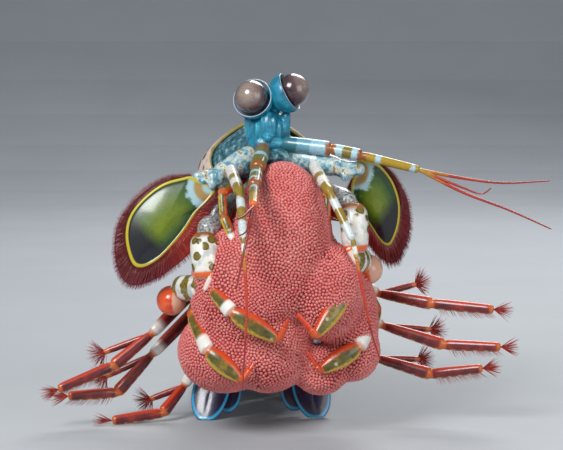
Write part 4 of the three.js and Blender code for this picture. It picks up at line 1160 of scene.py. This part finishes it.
# %% [markdown]
# ## Holding arms
# Three pairs of small arms hold and turn the clutch, and a first pair cleans the face. Each ends in
# an oval hand with a curved finger. The number edge tells the red margin from the yellow one.

# %% Arm finishes
def arm_finish(tag, lower):
    finish = Finish(f"holding_arms_{tag}", roughness=0.32, coat=0.5)
    spot = finish.spot()
    along = finish.number("along")
    edge = finish.times(finish.number("edge"), lower)
    grain = finish.noise(spot, 1.9, 4, 0.62)
    cloud = finish.noise(spot, 0.5, 3)
    olive = finish.ramp(cloud, [(0.3, (0.035, 0.035, 0.005)), (0.5, (0.10, 0.085, 0.008)),
                                (0.68, (0.25, 0.15, 0.012))])
    dots = finish.plus(finish.cells(spot, 0.36, 1.0), finish.times(grain, 0.3))
    olive = finish.over(olive, dots, [(0.24, 0.8), (0.34, 0.0)], (0.50, 0.48, 0.34))
    olive = finish.over(olive, grain, [(0.55, 0.0), (0.75, 0.5)], (0.04, 0.03, 0.01))
    margin = finish.plus(edge, finish.times(finish.math("SUBTRACT", grain, 0.5), 0.8))
    colour = finish.mix(finish.span(margin, 0.35, 0.7), olive, (0.62, 0.055, 0.006))
    colour = finish.mix(finish.span(finish.times(margin, -1.0), 0.45, 0.75), colour,
                        (0.60, 0.38, 0.02))
    knee = finish.math("PINGPONG", along, 0.5)
    colour = finish.over(colour, knee, [(0.0, 0.9), (0.04, 0.7), (0.09, 0.0)], (0.55, 0.10, 0.01))
    before_hand = finish.times(finish.span(along, 2.62, 2.72), finish.span(along, 3.02, 2.94))
    colour = finish.mix(before_hand, colour, WHITE)
    colour = finish.mix(finish.span(along, 3.9, 4.15), colour, (0.62, 0.07, 0.008))
    colour = finish.mix(finish.span(along, 4.9, 5.2), colour, (0.66, 0.045, 0.006))
    return finish.paint(colour, grain, 0.08, 0.4)


ARM_FINISH = {RIGHT: arm_finish("r", 1.0), LEFT: arm_finish("l", -1.0)}


# %% Arms
ARM_HAIRS = 34


def holding_arm(tag, joints, finger, hand):
    side = RIGHT if tag.endswith("r") else LEFT
    wrist, tip = joints[-2:]
    across = (tip - wrist).cross(Y).normalized()
    claw_root = blend(tip, finger, 0.45) + across * 0.9
    bm = bmesh.new()
    widths = [(1.6, 1.4), (1.4, 1.5), (1.5, 1.7), (hand, hand * 0.75), (0.95, 0.8), (0.7, 0.45)]
    limb(bm, [*joints, claw_root, finger], widths, flat=0.7, side=across, sides=16, oval=3)
    piece(f"{tag}_arm", bm, ARM_FINISH[side], [tag])
    roots = []
    for k in range(ARM_HAIRS):
        t = random.uniform(0.1, 0.95)
        foot = blend(joints[-3], wrist, t) if k % 2 else blend(wrist, tip, t)
        way = at(side * 0.4, random.uniform(-0.6, 0.1), -1 + random.uniform(-0.2, 0.2))
        root = foot + at(0, -0.4, -0.9)
        roots.append((root, way, X, random.uniform(1.2, 2.1), (t, k / ARM_HAIRS), 0.3))
    return roots


ARMS = {
    "maxilliped_3_r": row((-6, 7, 50), (-12.5, -3, 38), (-12, -16.5, 33), (-8, -20.6, 29.2),
                          (2, -21.6, 23.4), (3.8, -22.6, 28)),
    "maxilliped_3_l": row((2.5, 7, 50), (13.6, -1, 42.6), (14.4, -9.5, 36.2), (16.8, -15.5, 33.4),
                          (9.7, -20.6, 24), (5.8, -21.2, 28.9)),
    "maxilliped_4_r": row((-6, 8.5, 46.5), (-14.6, 2.2, 34), (-17, -8.4, 26.7), (-13.2, -17, 20.3),
                          (-6.1, -18.5, 14.3), (-3.5, -18, 17.8)),
    "maxilliped_4_l": row((2.5, 8.5, 46.5), (20, 2.5, 34), (23.6, -4, 27), (19.2, -12.4, 20.4),
                          (10.8, -14.4, 15.6), (7.9, -16.4, 20.2)),
    "maxilliped_5_r": row((-6, 9.5, 43), (-14, 6.5, 30), (-13, 7, 20), (-6, 6.6, 13),
                          (2, 6.2, 10.6), (5.4, 4.6, 12.8)),
    "maxilliped_5_l": row((2.5, 9.5, 43), (14, 7, 31), (19, 6.4, 22), (17, 6.4, 14.6),
                          (11, 5.4, 9.4), (7.6, 4, 9.6)),
}
arm_roots = []
for tag, spots in ARMS.items():
    arm_roots += holding_arm(tag, spots[:-1], spots[-1], hand=2 if "_5_" in tag else 2.35)
stamp("arm_bristles", arm_roots, FINE, LEG_BRISTLES)
CLEANERS = {
    "r": row((-5.6, 1.5, 55.6), (-10.3, -9.5, 53.4), (-9.9, -11, 48.6), (-7.6, -13.4, 43)),
    "l": row((7.6, 1.5, 55.6), (12.4, -9, 52.6), (12.2, -10.6, 48), (10.2, -15, 42.6)),
}
for tag, joints in CLEANERS.items():
    bm = bmesh.new()
    limb(bm, joints, [(1.2, 1.3), (1, 0.9), (1.3, 0.7)], flat=0.75, side=X, sides=12)
    piece(f"cleaning_limb_{tag}", bm, ARM_FINISH[RIGHT], [f"maxilliped_1_{tag}"])

# %% [markdown]
# ## Walking legs
# Three pairs of legs stand out behind the claws. Maroon articles have orange rims and pale dashes,
# and long red bristles fan out from the last article and from a side branch past each knee.

# %% Leg finish
leg_finish = Finish("walking_legs", roughness=0.34, coat=0.5)
spot = leg_finish.spot()
along = leg_finish.number("along")
edge = leg_finish.number("edge")
grain = leg_finish.noise(spot, 2.0, 4, 0.6)
cloud = leg_finish.noise(spot, 0.4, 3)
maroon = leg_finish.ramp(cloud, [(0.3, (0.05, 0.003, 0.008)), (0.5, (0.14, 0.006, 0.008)),
                                 (0.7, (0.28, 0.02, 0.006))])
ragged = leg_finish.plus(edge, leg_finish.times(grain, 0.5))
colour = leg_finish.mix(leg_finish.span(ragged, 0.6, 1.1), maroon, (0.50, 0.035, 0.006))
dashes = leg_finish.math("SINE", leg_finish.times(along, 30.0))
pale = leg_finish.mix(leg_finish.ramp(dashes, [(0.4, 0.0), (0.6, 1.0)]), (0.42, 0.06, 0.01),
                      (0.66, 0.5, 0.16))
colour = leg_finish.mix(leg_finish.span(leg_finish.times(edge, -1.0), 0.6, 0.85), colour, pale)
knee = leg_finish.math("PINGPONG", along, 0.5)
colour = leg_finish.over(colour, knee, [(0.0, 0.9), (0.03, 0.8), (0.07, 0.0)], (0.58, 0.12, 0.01))
knee_spot = leg_finish.times(leg_finish.span(along, 0.86, 0.92), leg_finish.span(along, 1.0, 0.97))
colour = leg_finish.mix(knee_spot, colour, WHITE)
LEG = leg_finish.paint(colour, grain, 0.08, 0.4)


# %% Legs
COMB_HAIRS = 70
TUFT_HAIRS = 60
FAN_HAIRS = 80


def leg(tag, joints, branch):
    _, knee, ankle, tip = joints
    bm = bmesh.new()
    limb(bm, joints, [(1.7, 1.35), (1.15, 1.5), (1.45, 1.05)], flat=0.8, sides=14)
    article(bm, blend(knee, ankle, 0.04), branch, (0.8, 0.75), flat=0.8, sides=12, first=1.1)
    piece(f"{tag}_walking", bm, LEG, [tag])
    roots = []
    outward = (tip - ankle).normalized()
    side = 1 if tip.x > 0 else -1
    for k in range(COMB_HAIRS):
        t = k / (COMB_HAIRS - 1)
        slide = math.radians(side * random.uniform(-14, 14))
        way = Vector((outward.x * 0.25, random.uniform(-0.35, 0.15),
                      -1)) + outward * (0.2 + 0.9 * t)
        foot = blend(ankle, tip, 0.1 + 0.85 * t) - Z * 0.85 + outward * slide
        roots.append((foot, way, Y, random.uniform(1.5, 2.5), (t, 0.1), random.uniform(0, 0.5)))
    for k in range(TUFT_HAIRS):
        turn = math.tau * k / TUFT_HAIRS
        outwards = X.cross(outward) * math.sin(turn) + Z * math.cos(turn)
        way = outward + outwards * random.uniform(0.1, 0.75)
        roots.append((tip, way, Y, random.uniform(2.6, 4.5), (k / TUFT_HAIRS, 0.4),
                      random.uniform(0, 0.6)))
    fan_way = (branch - blend(knee, ankle, 0.04)).normalized()
    for k in range(FAN_HAIRS):
        angle = math.radians(blend(-70, 70, k / (FAN_HAIRS - 1)))
        way = Matrix.Rotation(angle, 3, "Y") @ fan_way + Y * random.uniform(-0.18, 0.18)
        foot = branch - fan_way * random.uniform(0, 1.0)
        roots.append((foot, way, Y, random.uniform(3.2, 4.3), (k / FAN_HAIRS, 0.8),
                      random.uniform(0, 0.4)))
    return roots


LEGS = {"leg_1_r": row((-9, 13, 38), (-26.4, 3, 20.8), (-34.8, 0, 14.1), (-46.6, -4, 9.6),
                       (-37.4, 2.4, 16.6)), "leg_1_l": row((5, 13, 38.5), (24.2, 6.4, 29.4),
                                                           (35.9, 2.4, 27.7), (49.2, -2, 27),
                                                           (33, 8, 31.4)),
        "leg_2_r": row((-9, 14, 32.8), (-26.6, 6.6, 15.6), (-34.3, 4, 7.4), (-44.9, 0.6, 7.2),
                       (-37.4, 6.4, 10.4)), "leg_2_l": row((5, 14, 33), (25.2, 7.6, 22),
                                                           (38.8, 4.6, 18.1), (51.1, 0.8, 18.2),
                                                           (36.6, 9, 20.8)),
        "leg_3_r": row((-9, 16, 27.6), (-19.6, 11, 7.6), (-24.2, 7, 2.2), (-35.5, 4.4, 0.9),
                       (-27.6, 10, 4.6)), "leg_3_l": row((5, 16, 27.6), (23.8, 10, 14.2),
                                                         (36.1, 7, 11), (47.4, 3.2, 13),
                                                         (34.2, 11.6, 13.6)),}
leg_roots = []
for tag, spots in LEGS.items():
    leg_roots += leg(tag, spots[:-1], spots[-1])
above_floor = [r for r in leg_roots if r[0].z + r[1].normalized().z * r[3] > 0.05]
stamp("leg_bristles_all", above_floor, FINE, LEG_BRISTLES)

# %% [markdown]
# ## Swimmerets and tail fan
# Under the abdomen five pairs of leaf-like swimmerets hang to the floor. They are dark blue with
# bright cyan rims and red fringes. The tail fan has the same colours, with orange spines.

# %% Leaf finish
def leaf_finish(name, inner, rim_colour):
    finish = Finish(name, roughness=0.33, coat=0.5)
    spot = finish.spot()
    reach = finish.number("along")
    grain = finish.noise(spot, 1.8, 4, 0.6)
    cloud = finish.noise(spot, 0.35, 3)
    dark = finish.ramp(cloud, [(0.3, inner), (0.6, NAVY), (0.75, (0.02, 0.05, 0.13))])
    dark = finish.over(dark, grain, [(0.56, 0.0), (0.75, 0.6)], (0.03, 0.13, 0.2))
    rim = finish.ramp(reach, [(0.84, 0.0), (0.9, 1.0), (0.97, 1.0), (1.0, 0.25)], "LINEAR")
    colour = finish.mix(rim, dark, rim_colour)
    return finish.paint(colour, grain, 0.08, 0.4)


LEAF = leaf_finish("swimmeret_leaves", (0.02, 0.006, 0.02), CYAN)
FAN = leaf_finish("tail_fan_leaves", (0.01, 0.04, 0.09), (0.05, 0.40, 0.60))


# %% One leaf with its fringe roots
LEAF_SIDES = 44
HAIRS_PER_LEAF = 150


def leaf(bm, root, tip, broad, half_width, crown, fringe, taper=0.25):
    layer = layers_of(bm)
    along = (tip - root).normalized()
    length = (tip - root).length
    across = (broad - along * broad.dot(along)).normalized()
    normal = across.cross(along).normalized()

    def place(turn, reach):
        u = math.cos(turn * math.tau) * reach
        v = math.sin(turn * math.tau) * reach
        lift = crown * max(0, 1 - u * u - v * v)
        vein = 0.18 * math.exp(-(u / 0.08) ** 2) * max(0, 1 - reach)
        spot = root + along * (length * (0.5 + 0.5 * v))
        spot = spot + across * (half_width * u * (1 + taper * v)) + normal * (lift + vein)
        return Vector((spot.x, spot.y, max(spot.z, 0.14)))

    for face_side in (-0.22, 0.22):
        loops = []
        for reach in (0.06, 0.3, 0.55, 0.75, 0.88, 0.95, 1.0):
            circle, edges = ring(bm, LEAF_SIDES)
            loops.append(edges)
            for vert in circle:
                turn = math.atan2(vert.co.y, vert.co.x) / math.tau % 1
                vert[layer["along"]], vert[layer["turn"]] = reach, turn
                spread = (1 - reach ** 6) * face_side
                vert.co = to_frame(place(turn, reach) + normal * spread)
        bridge(bm, loops, loops[:1])
    bmesh.ops.remove_doubles(bm, verts=bm.verts, dist=0.00001)
    roots = []
    for k in range(HAIRS_PER_LEAF):
        turn = k / HAIRS_PER_LEAF
        if 0.53 <= turn <= 0.97:
            continue
        way = (place(turn, 1.4) - place(turn, 0.9)).normalized() + normal * random.uniform(-0.25,
                                                                                           0.25)
        hair = fringe * random.uniform(2.6, 3.4)
        foot = place(turn, 0.97)
        if foot.z + way.normalized().z * hair < 0.06:
            way.z = max(way.z, (0.06 - foot.z) / hair)
        mark = (0.5 + 0.4 * math.cos(turn * math.tau), 0.5 + 0.4 * math.sin(turn * math.tau))
        roots.append((foot, way, normal, hair, mark, random.uniform(0, 0.35)))
    return roots


# %% Swimmerets
starts = [42.5, 51.5, 61.5, 71.5, 82]
lengths = [9, 10, 10, 10.5, 11.5]
swim_roots = []
for k, (start, length) in enumerate(zip(starts, lengths)):
    distance = start + length / 2
    centre = body_path.at(distance)
    for side, tag in ((RIGHT, "r"), (LEFT, "l")):
        hip = centre - dorsal_at(distance) * 3.4 + at(7.4 * side, 0, 0)
        foot_y = 10.4 + 1.2 * side if k == 0 else centre.y - 3.4
        foot = at(centre.x + side * (13 if k == 0 else 11.8), foot_y, -0.4)
        knee = blend(hip, foot, 0.3) + at(0.6 * side, -1.5 if k == 0 else 0, 0)
        facing = at(1, 0.12 * side, 0)
        inner = foot + at(-5.4 * side, 2.6, 1.6)
        bm = bmesh.new()
        article(bm, hip, blend(knee, foot, 0.12), (3.0, 3.2), flat=0.5, side=X)
        swim_roots += leaf(bm, knee, foot, facing, 4.3, -0.5, 0.3, taper=0.05)
        swim_roots += leaf(bm, knee + at(-1.6 * side, 1, 0), inner, facing, 3.2, -0.4, 0.3)
        piece(f"swimmeret_{k + 1}_{tag}", bm, LEAF, [f"pleopod_{k + 1}_{tag}"], levels=0)
stamp("swimmeret_fringe", swim_roots, FINE, TAIL_FRINGE)

# %% Tail fan
fan_roots = []
for side, tag in ((RIGHT, "r"), (LEFT, "l")):
    hip = body_path.at(100) + at(side * 8.8, 0, -4.2)
    knee = hip + at(side * 3.6, 7, -4.6)
    elbow = knee + at(side * 3.4, 7.6, -4.4)
    bm = bmesh.new()
    facing = at(1, 0, -0.12 * side)
    outer_root, outer_tip = elbow + at(0, -1.4, 0.5), elbow + at(side * 3.2, 9, -3.2)
    inner_root, inner_tip = knee + at(-side, -0.8, 0), knee + at(0.4 * side, 13, -7)
    fan_roots += leaf(bm, outer_root, outer_tip, facing, 3.2, 0.4, 0.5)
    fan_roots += leaf(bm, inner_root, inner_tip, facing, 2.7, 0.4, 0.42)
    article(bm, hip, knee, (2.6, 2.4), flat=0.75, side=X)
    article(bm, knee + at(0, -1.5, 0.3), elbow, (2.3, 2.7), flat=0.4, side=X)
    piece(f"tail_fan_{tag}", bm, FAN, [f"uropod_{tag}"], levels=0)
    bm = bmesh.new()
    article(bm, knee + at(-1.6 * side, -1.5, 0), knee + at(-1.2 * side, 8, -4.4), (1.05, 0.2),
            sides=10, profile=[(0, 0.9), (0.1, 1), (0.5, 0.9), (1, 0.6)])
    for k in range(7):
        foot = blend(knee, elbow, 0.25 + 0.12 * k) + at(side * 2.4, 0, 0)
        article(bm, foot, foot + at(side * 1.0, 1.7, -0.5), (0.45, 0.12), sides=8)
    piece(f"tail_fan_spines_{tag}", bm, TEETH, levels=0)
stamp("tail_fan_fringe", fan_roots, FINE, TAIL_FRINGE)

# %% [markdown]
# ## The clutch
# She glues thousands of small round eggs into one folded mass and turns it with her small claws.
# The lobes are rounded blobs, melted together so that the folds are soft. The eggs are domes
# spread over that skin: random points first, pushed apart until they sit evenly.

# %% Egg finishes
egg_finish = Finish("salmon_eggs", roughness=0.34, coat=0.3, subsurface=0.2)
crown = egg_finish.number("crown")
tone = egg_finish.number("tone")
pink = egg_finish.mix(tone, (0.66, 0.155, 0.145), (0.74, 0.23, 0.205))
pink = egg_finish.over(pink, tone, [(0.90, 0.0), (0.97, 0.6)], (0.72, 0.30, 0.24))
# Painted shade: each egg darkens from its crown to a dark red at its base, where it meets its
# neighbours.
shade = egg_finish.ramp(crown, [(0.0, 0.0), (0.35, 0.45), (0.75, 1.0)])
fold = egg_finish.noise(egg_finish.spot(), 0.12, 3)
pink = egg_finish.over(pink, fold, [(0.35, 0.0), (0.65, 0.35)], (0.50, 0.06, 0.06))
EGGS = egg_finish.paint(egg_finish.mix(shade, (0.36, 0.035, 0.035), pink))
# Painted shade: the core that shows between the eggs is a dark red that stands in for the shade in
# the gaps.
gap_shade_finish = Finish("painted_shade_between_eggs", roughness=0.5, coat=0.2)
GAP_SHADE = gap_shade_finish.paint(gap_shade_finish.ramp(gap_shade_finish.noise(gap_shade_finish.spot(), 0.6),
                                        [(0.3, (0.22, 0.016, 0.018)), (0.7, (0.32, 0.03, 0.03))]))

# %% Lobes melted into one mass
LOBES = [
    ((2.8, -8, 42), (10.8, 12.6, 18.2)), ((-5.5, -7.5, 32), (12, 11.6, 14.6)),
    ((12.5, -8.5, 32), (7.9, 10.8, 11)), ((-9.8, -6.5, 18.7), (10.4, 10.6, 9.3)),
    ((-0.4, -7, 19.5), (9.5, 10.8, 10)), ((17.6, -4.6, 25), (6.2, 8, 12)),
    ((11, -6, 14.4), (6.2, 7.6, 5.6)), ((18, -4.6, 18.3), (6.2, 7.6, 6.8)),
]
mass = bmesh.new()
for centre, radii in LOBES:
    blob(mass, at(*centre), [r - 0.35 for r in radii])
core_mesh = melt(mass, 0.9, 5)
# The core carries the painted shade between the eggs.
piece("clutch_core", core_mesh, GAP_SHADE, ["egg_mass"], levels=0)
print("clutch core faces:", len(core_mesh.polygons))

# %% Points spread evenly over the skin
random.seed(5)
core_points = [vert.co for vert in core_mesh.vertices]
skin = BVHTree.FromPolygons(core_points, [face.vertices for face in core_mesh.polygons])
areas = [p.area for p in core_mesh.polygons]
EGG_RADIUS = 0.00043
EGG_SPACING = 0.00076
PUSH_REACH = EGG_SPACING * 1.25
PUSH_SHARE = 0.32
egg_count = int(sum(areas) / (EGG_SPACING ** 2 * 0.88))
chosen = random.choices(range(len(areas)), weights=areas, k=egg_count)
spots = []
for index in chosen:
    corners = [core_mesh.vertices[v].co for v in core_mesh.polygons[index].vertices]
    shares = [random.random() for _ in corners]
    spots.append(sum((c * s for c, s in zip(corners, shares)), Vector()) / sum(shares))
rounds = 12
for _ in range(rounds):
    tree = KDTree(len(spots))
    for k, spot in enumerate(spots):
        tree.insert(spot, k)
    tree.balance()
    moved = []
    for spot in spots:
        push = Vector()
        for other, _, distance in tree.find_n(spot, 7)[1:]:
            if distance < PUSH_REACH:
                push += (spot - other) * (PUSH_REACH / max(distance, 1e-5) - 1)
        moved.append(skin.find_nearest(spot + push * PUSH_SHARE)[0])
    spots = moved
print("eggs:", len(spots))

# %% One dome, stamped at every point
DOME_DEPTH = 0.00008
DOME_LIFT = 0.00006
dome = bmesh.new()
bmesh.ops.create_uvsphere(dome, u_segments=8, v_segments=6, radius=EGG_RADIUS)
bmesh.ops.bisect_plane(dome, geom=dome.verts[:] + dome.edges[:] + dome.faces[:],
                       plane_co=(0, 0, -DOME_DEPTH), plane_no=(0, 0, -1), clear_outer=True)
crown_layer = dome.verts.layers.float.new("crown")
for vert in dome.verts:
    vert[crown_layer] = (vert.co.z + DOME_DEPTH) / EGG_RADIUS
dome_mesh = bpy.data.meshes.new("dome")
dome.to_mesh(dome_mesh)
dome.free()
EGG_PIECES = 3
low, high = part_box("egg_mass")
order = sorted(spots, key=lambda s: s.z)
for part in range(EGG_PIECES):
    mine = order[part * len(order) // EGG_PIECES:(part + 1) * len(order) // EGG_PIECES]
    bm = bmesh.new()
    tones, marks = [], []
    for spot in mine:
        outward = skin.find_nearest(spot)[1]
        turn = outward.to_track_quat("Z", "Y").to_matrix().to_4x4()
        lifted = Matrix.Translation(spot + outward * DOME_LIFT)
        place = lifted @ turn @ Matrix.Scale(random.uniform(0.9, 1.08), 4)
        dome_mesh.transform(place)
        bm.from_mesh(dome_mesh)
        dome_mesh.transform(place.inverted())
        tones += [random.random()] * len(dome_mesh.vertices)
        angle = math.atan2(spot.y - (low.y + high.y) / 2, spot.x - (low.x + high.x) / 2)
        height = (spot.z - low.z) / (high.z - low.z)
        marks.append(((angle / math.tau + 0.5, height), len(dome_mesh.loops)))
    mesh = bpy.data.meshes.new("eggs")
    bm.to_mesh(mesh)
    bm.free()
    obj = piece(f"eggs_{part + 1}", mesh, EGGS, levels=0)
    mesh.attributes.new("tone", "FLOAT", "POINT").data.foreach_set("value", tones)
    bake_patches(mesh, marks, margin=0.01)
    print(obj.name, "triangles:", triangles(mesh))

# %% [markdown]
# ## Stage and light
# A pale floor that curves up behind her and soft lamps, as in a photo studio, show the colours
# without hard shadows.

# %% Floor and lamps
FLOOR_SIZE = 3
FLOOR_DEPTH = 0.5
CURVE_RADIUS = 0.6
floor = bmesh.new()
bmesh.ops.create_grid(floor, x_segments=2, y_segments=120, size=FLOOR_SIZE)
for vert in floor.verts:
    behind = max(0.0, vert.co.y - FLOOR_DEPTH)
    turn = min(behind / CURVE_RADIUS, math.pi / 2)
    vert.co.y = min(vert.co.y, FLOOR_DEPTH) + CURVE_RADIUS * math.sin(turn)
    vert.co.z = CURVE_RADIUS * (1 - math.cos(turn)) + max(0.0, behind - CURVE_RADIUS * math.pi / 2)
floor_mesh = bpy.data.meshes.new("floor")
floor.to_mesh(floor_mesh)
floor.free()
floor_object = bpy.data.objects.new("floor", floor_mesh)
bpy.context.scene.collection.objects.link(floor_object)
floor_finish = Finish("pale_floor", roughness=0.7, coat=0.0)
cloud = floor_finish.noise(floor_finish.spot(), 0.02, 3)
floor_mesh.materials.append(floor_finish.paint(floor_finish.ramp(cloud,
                                                                 [(0.3, (0.40, 0.42, 0.44)),
                                                                  (0.7, (0.42, 0.44, 0.46))])))


def lamp(name, place, power, size):
    data = bpy.data.lights.new(name, "AREA")
    data.energy = power
    data.size = size
    obj = bpy.data.objects.new(name, data)
    bpy.context.scene.collection.objects.link(obj)
    obj.location = to_frame(place)
    obj.rotation_euler = (CAMERA_TARGET - obj.location).to_track_quat("-Z", "Y").to_euler()


lamp("key", at(-260, -420, 420), 3.4, 0.24)
lamp("fill", at(380, -360, 180), 0.9, 0.35)
lamp("rim", at(120, 420, 420), 2.2, 0.3)
world = bpy.data.worlds.new("soft_room")
world.use_nodes = True
world.node_tree.nodes["Background"].inputs["Color"].default_value = (0.80, 0.87, 0.95, 1)
world.node_tree.nodes["Background"].inputs["Strength"].default_value = 0.38
bpy.context.scene.world = world
bpy.context.scene.view_settings.view_transform = "Standard"
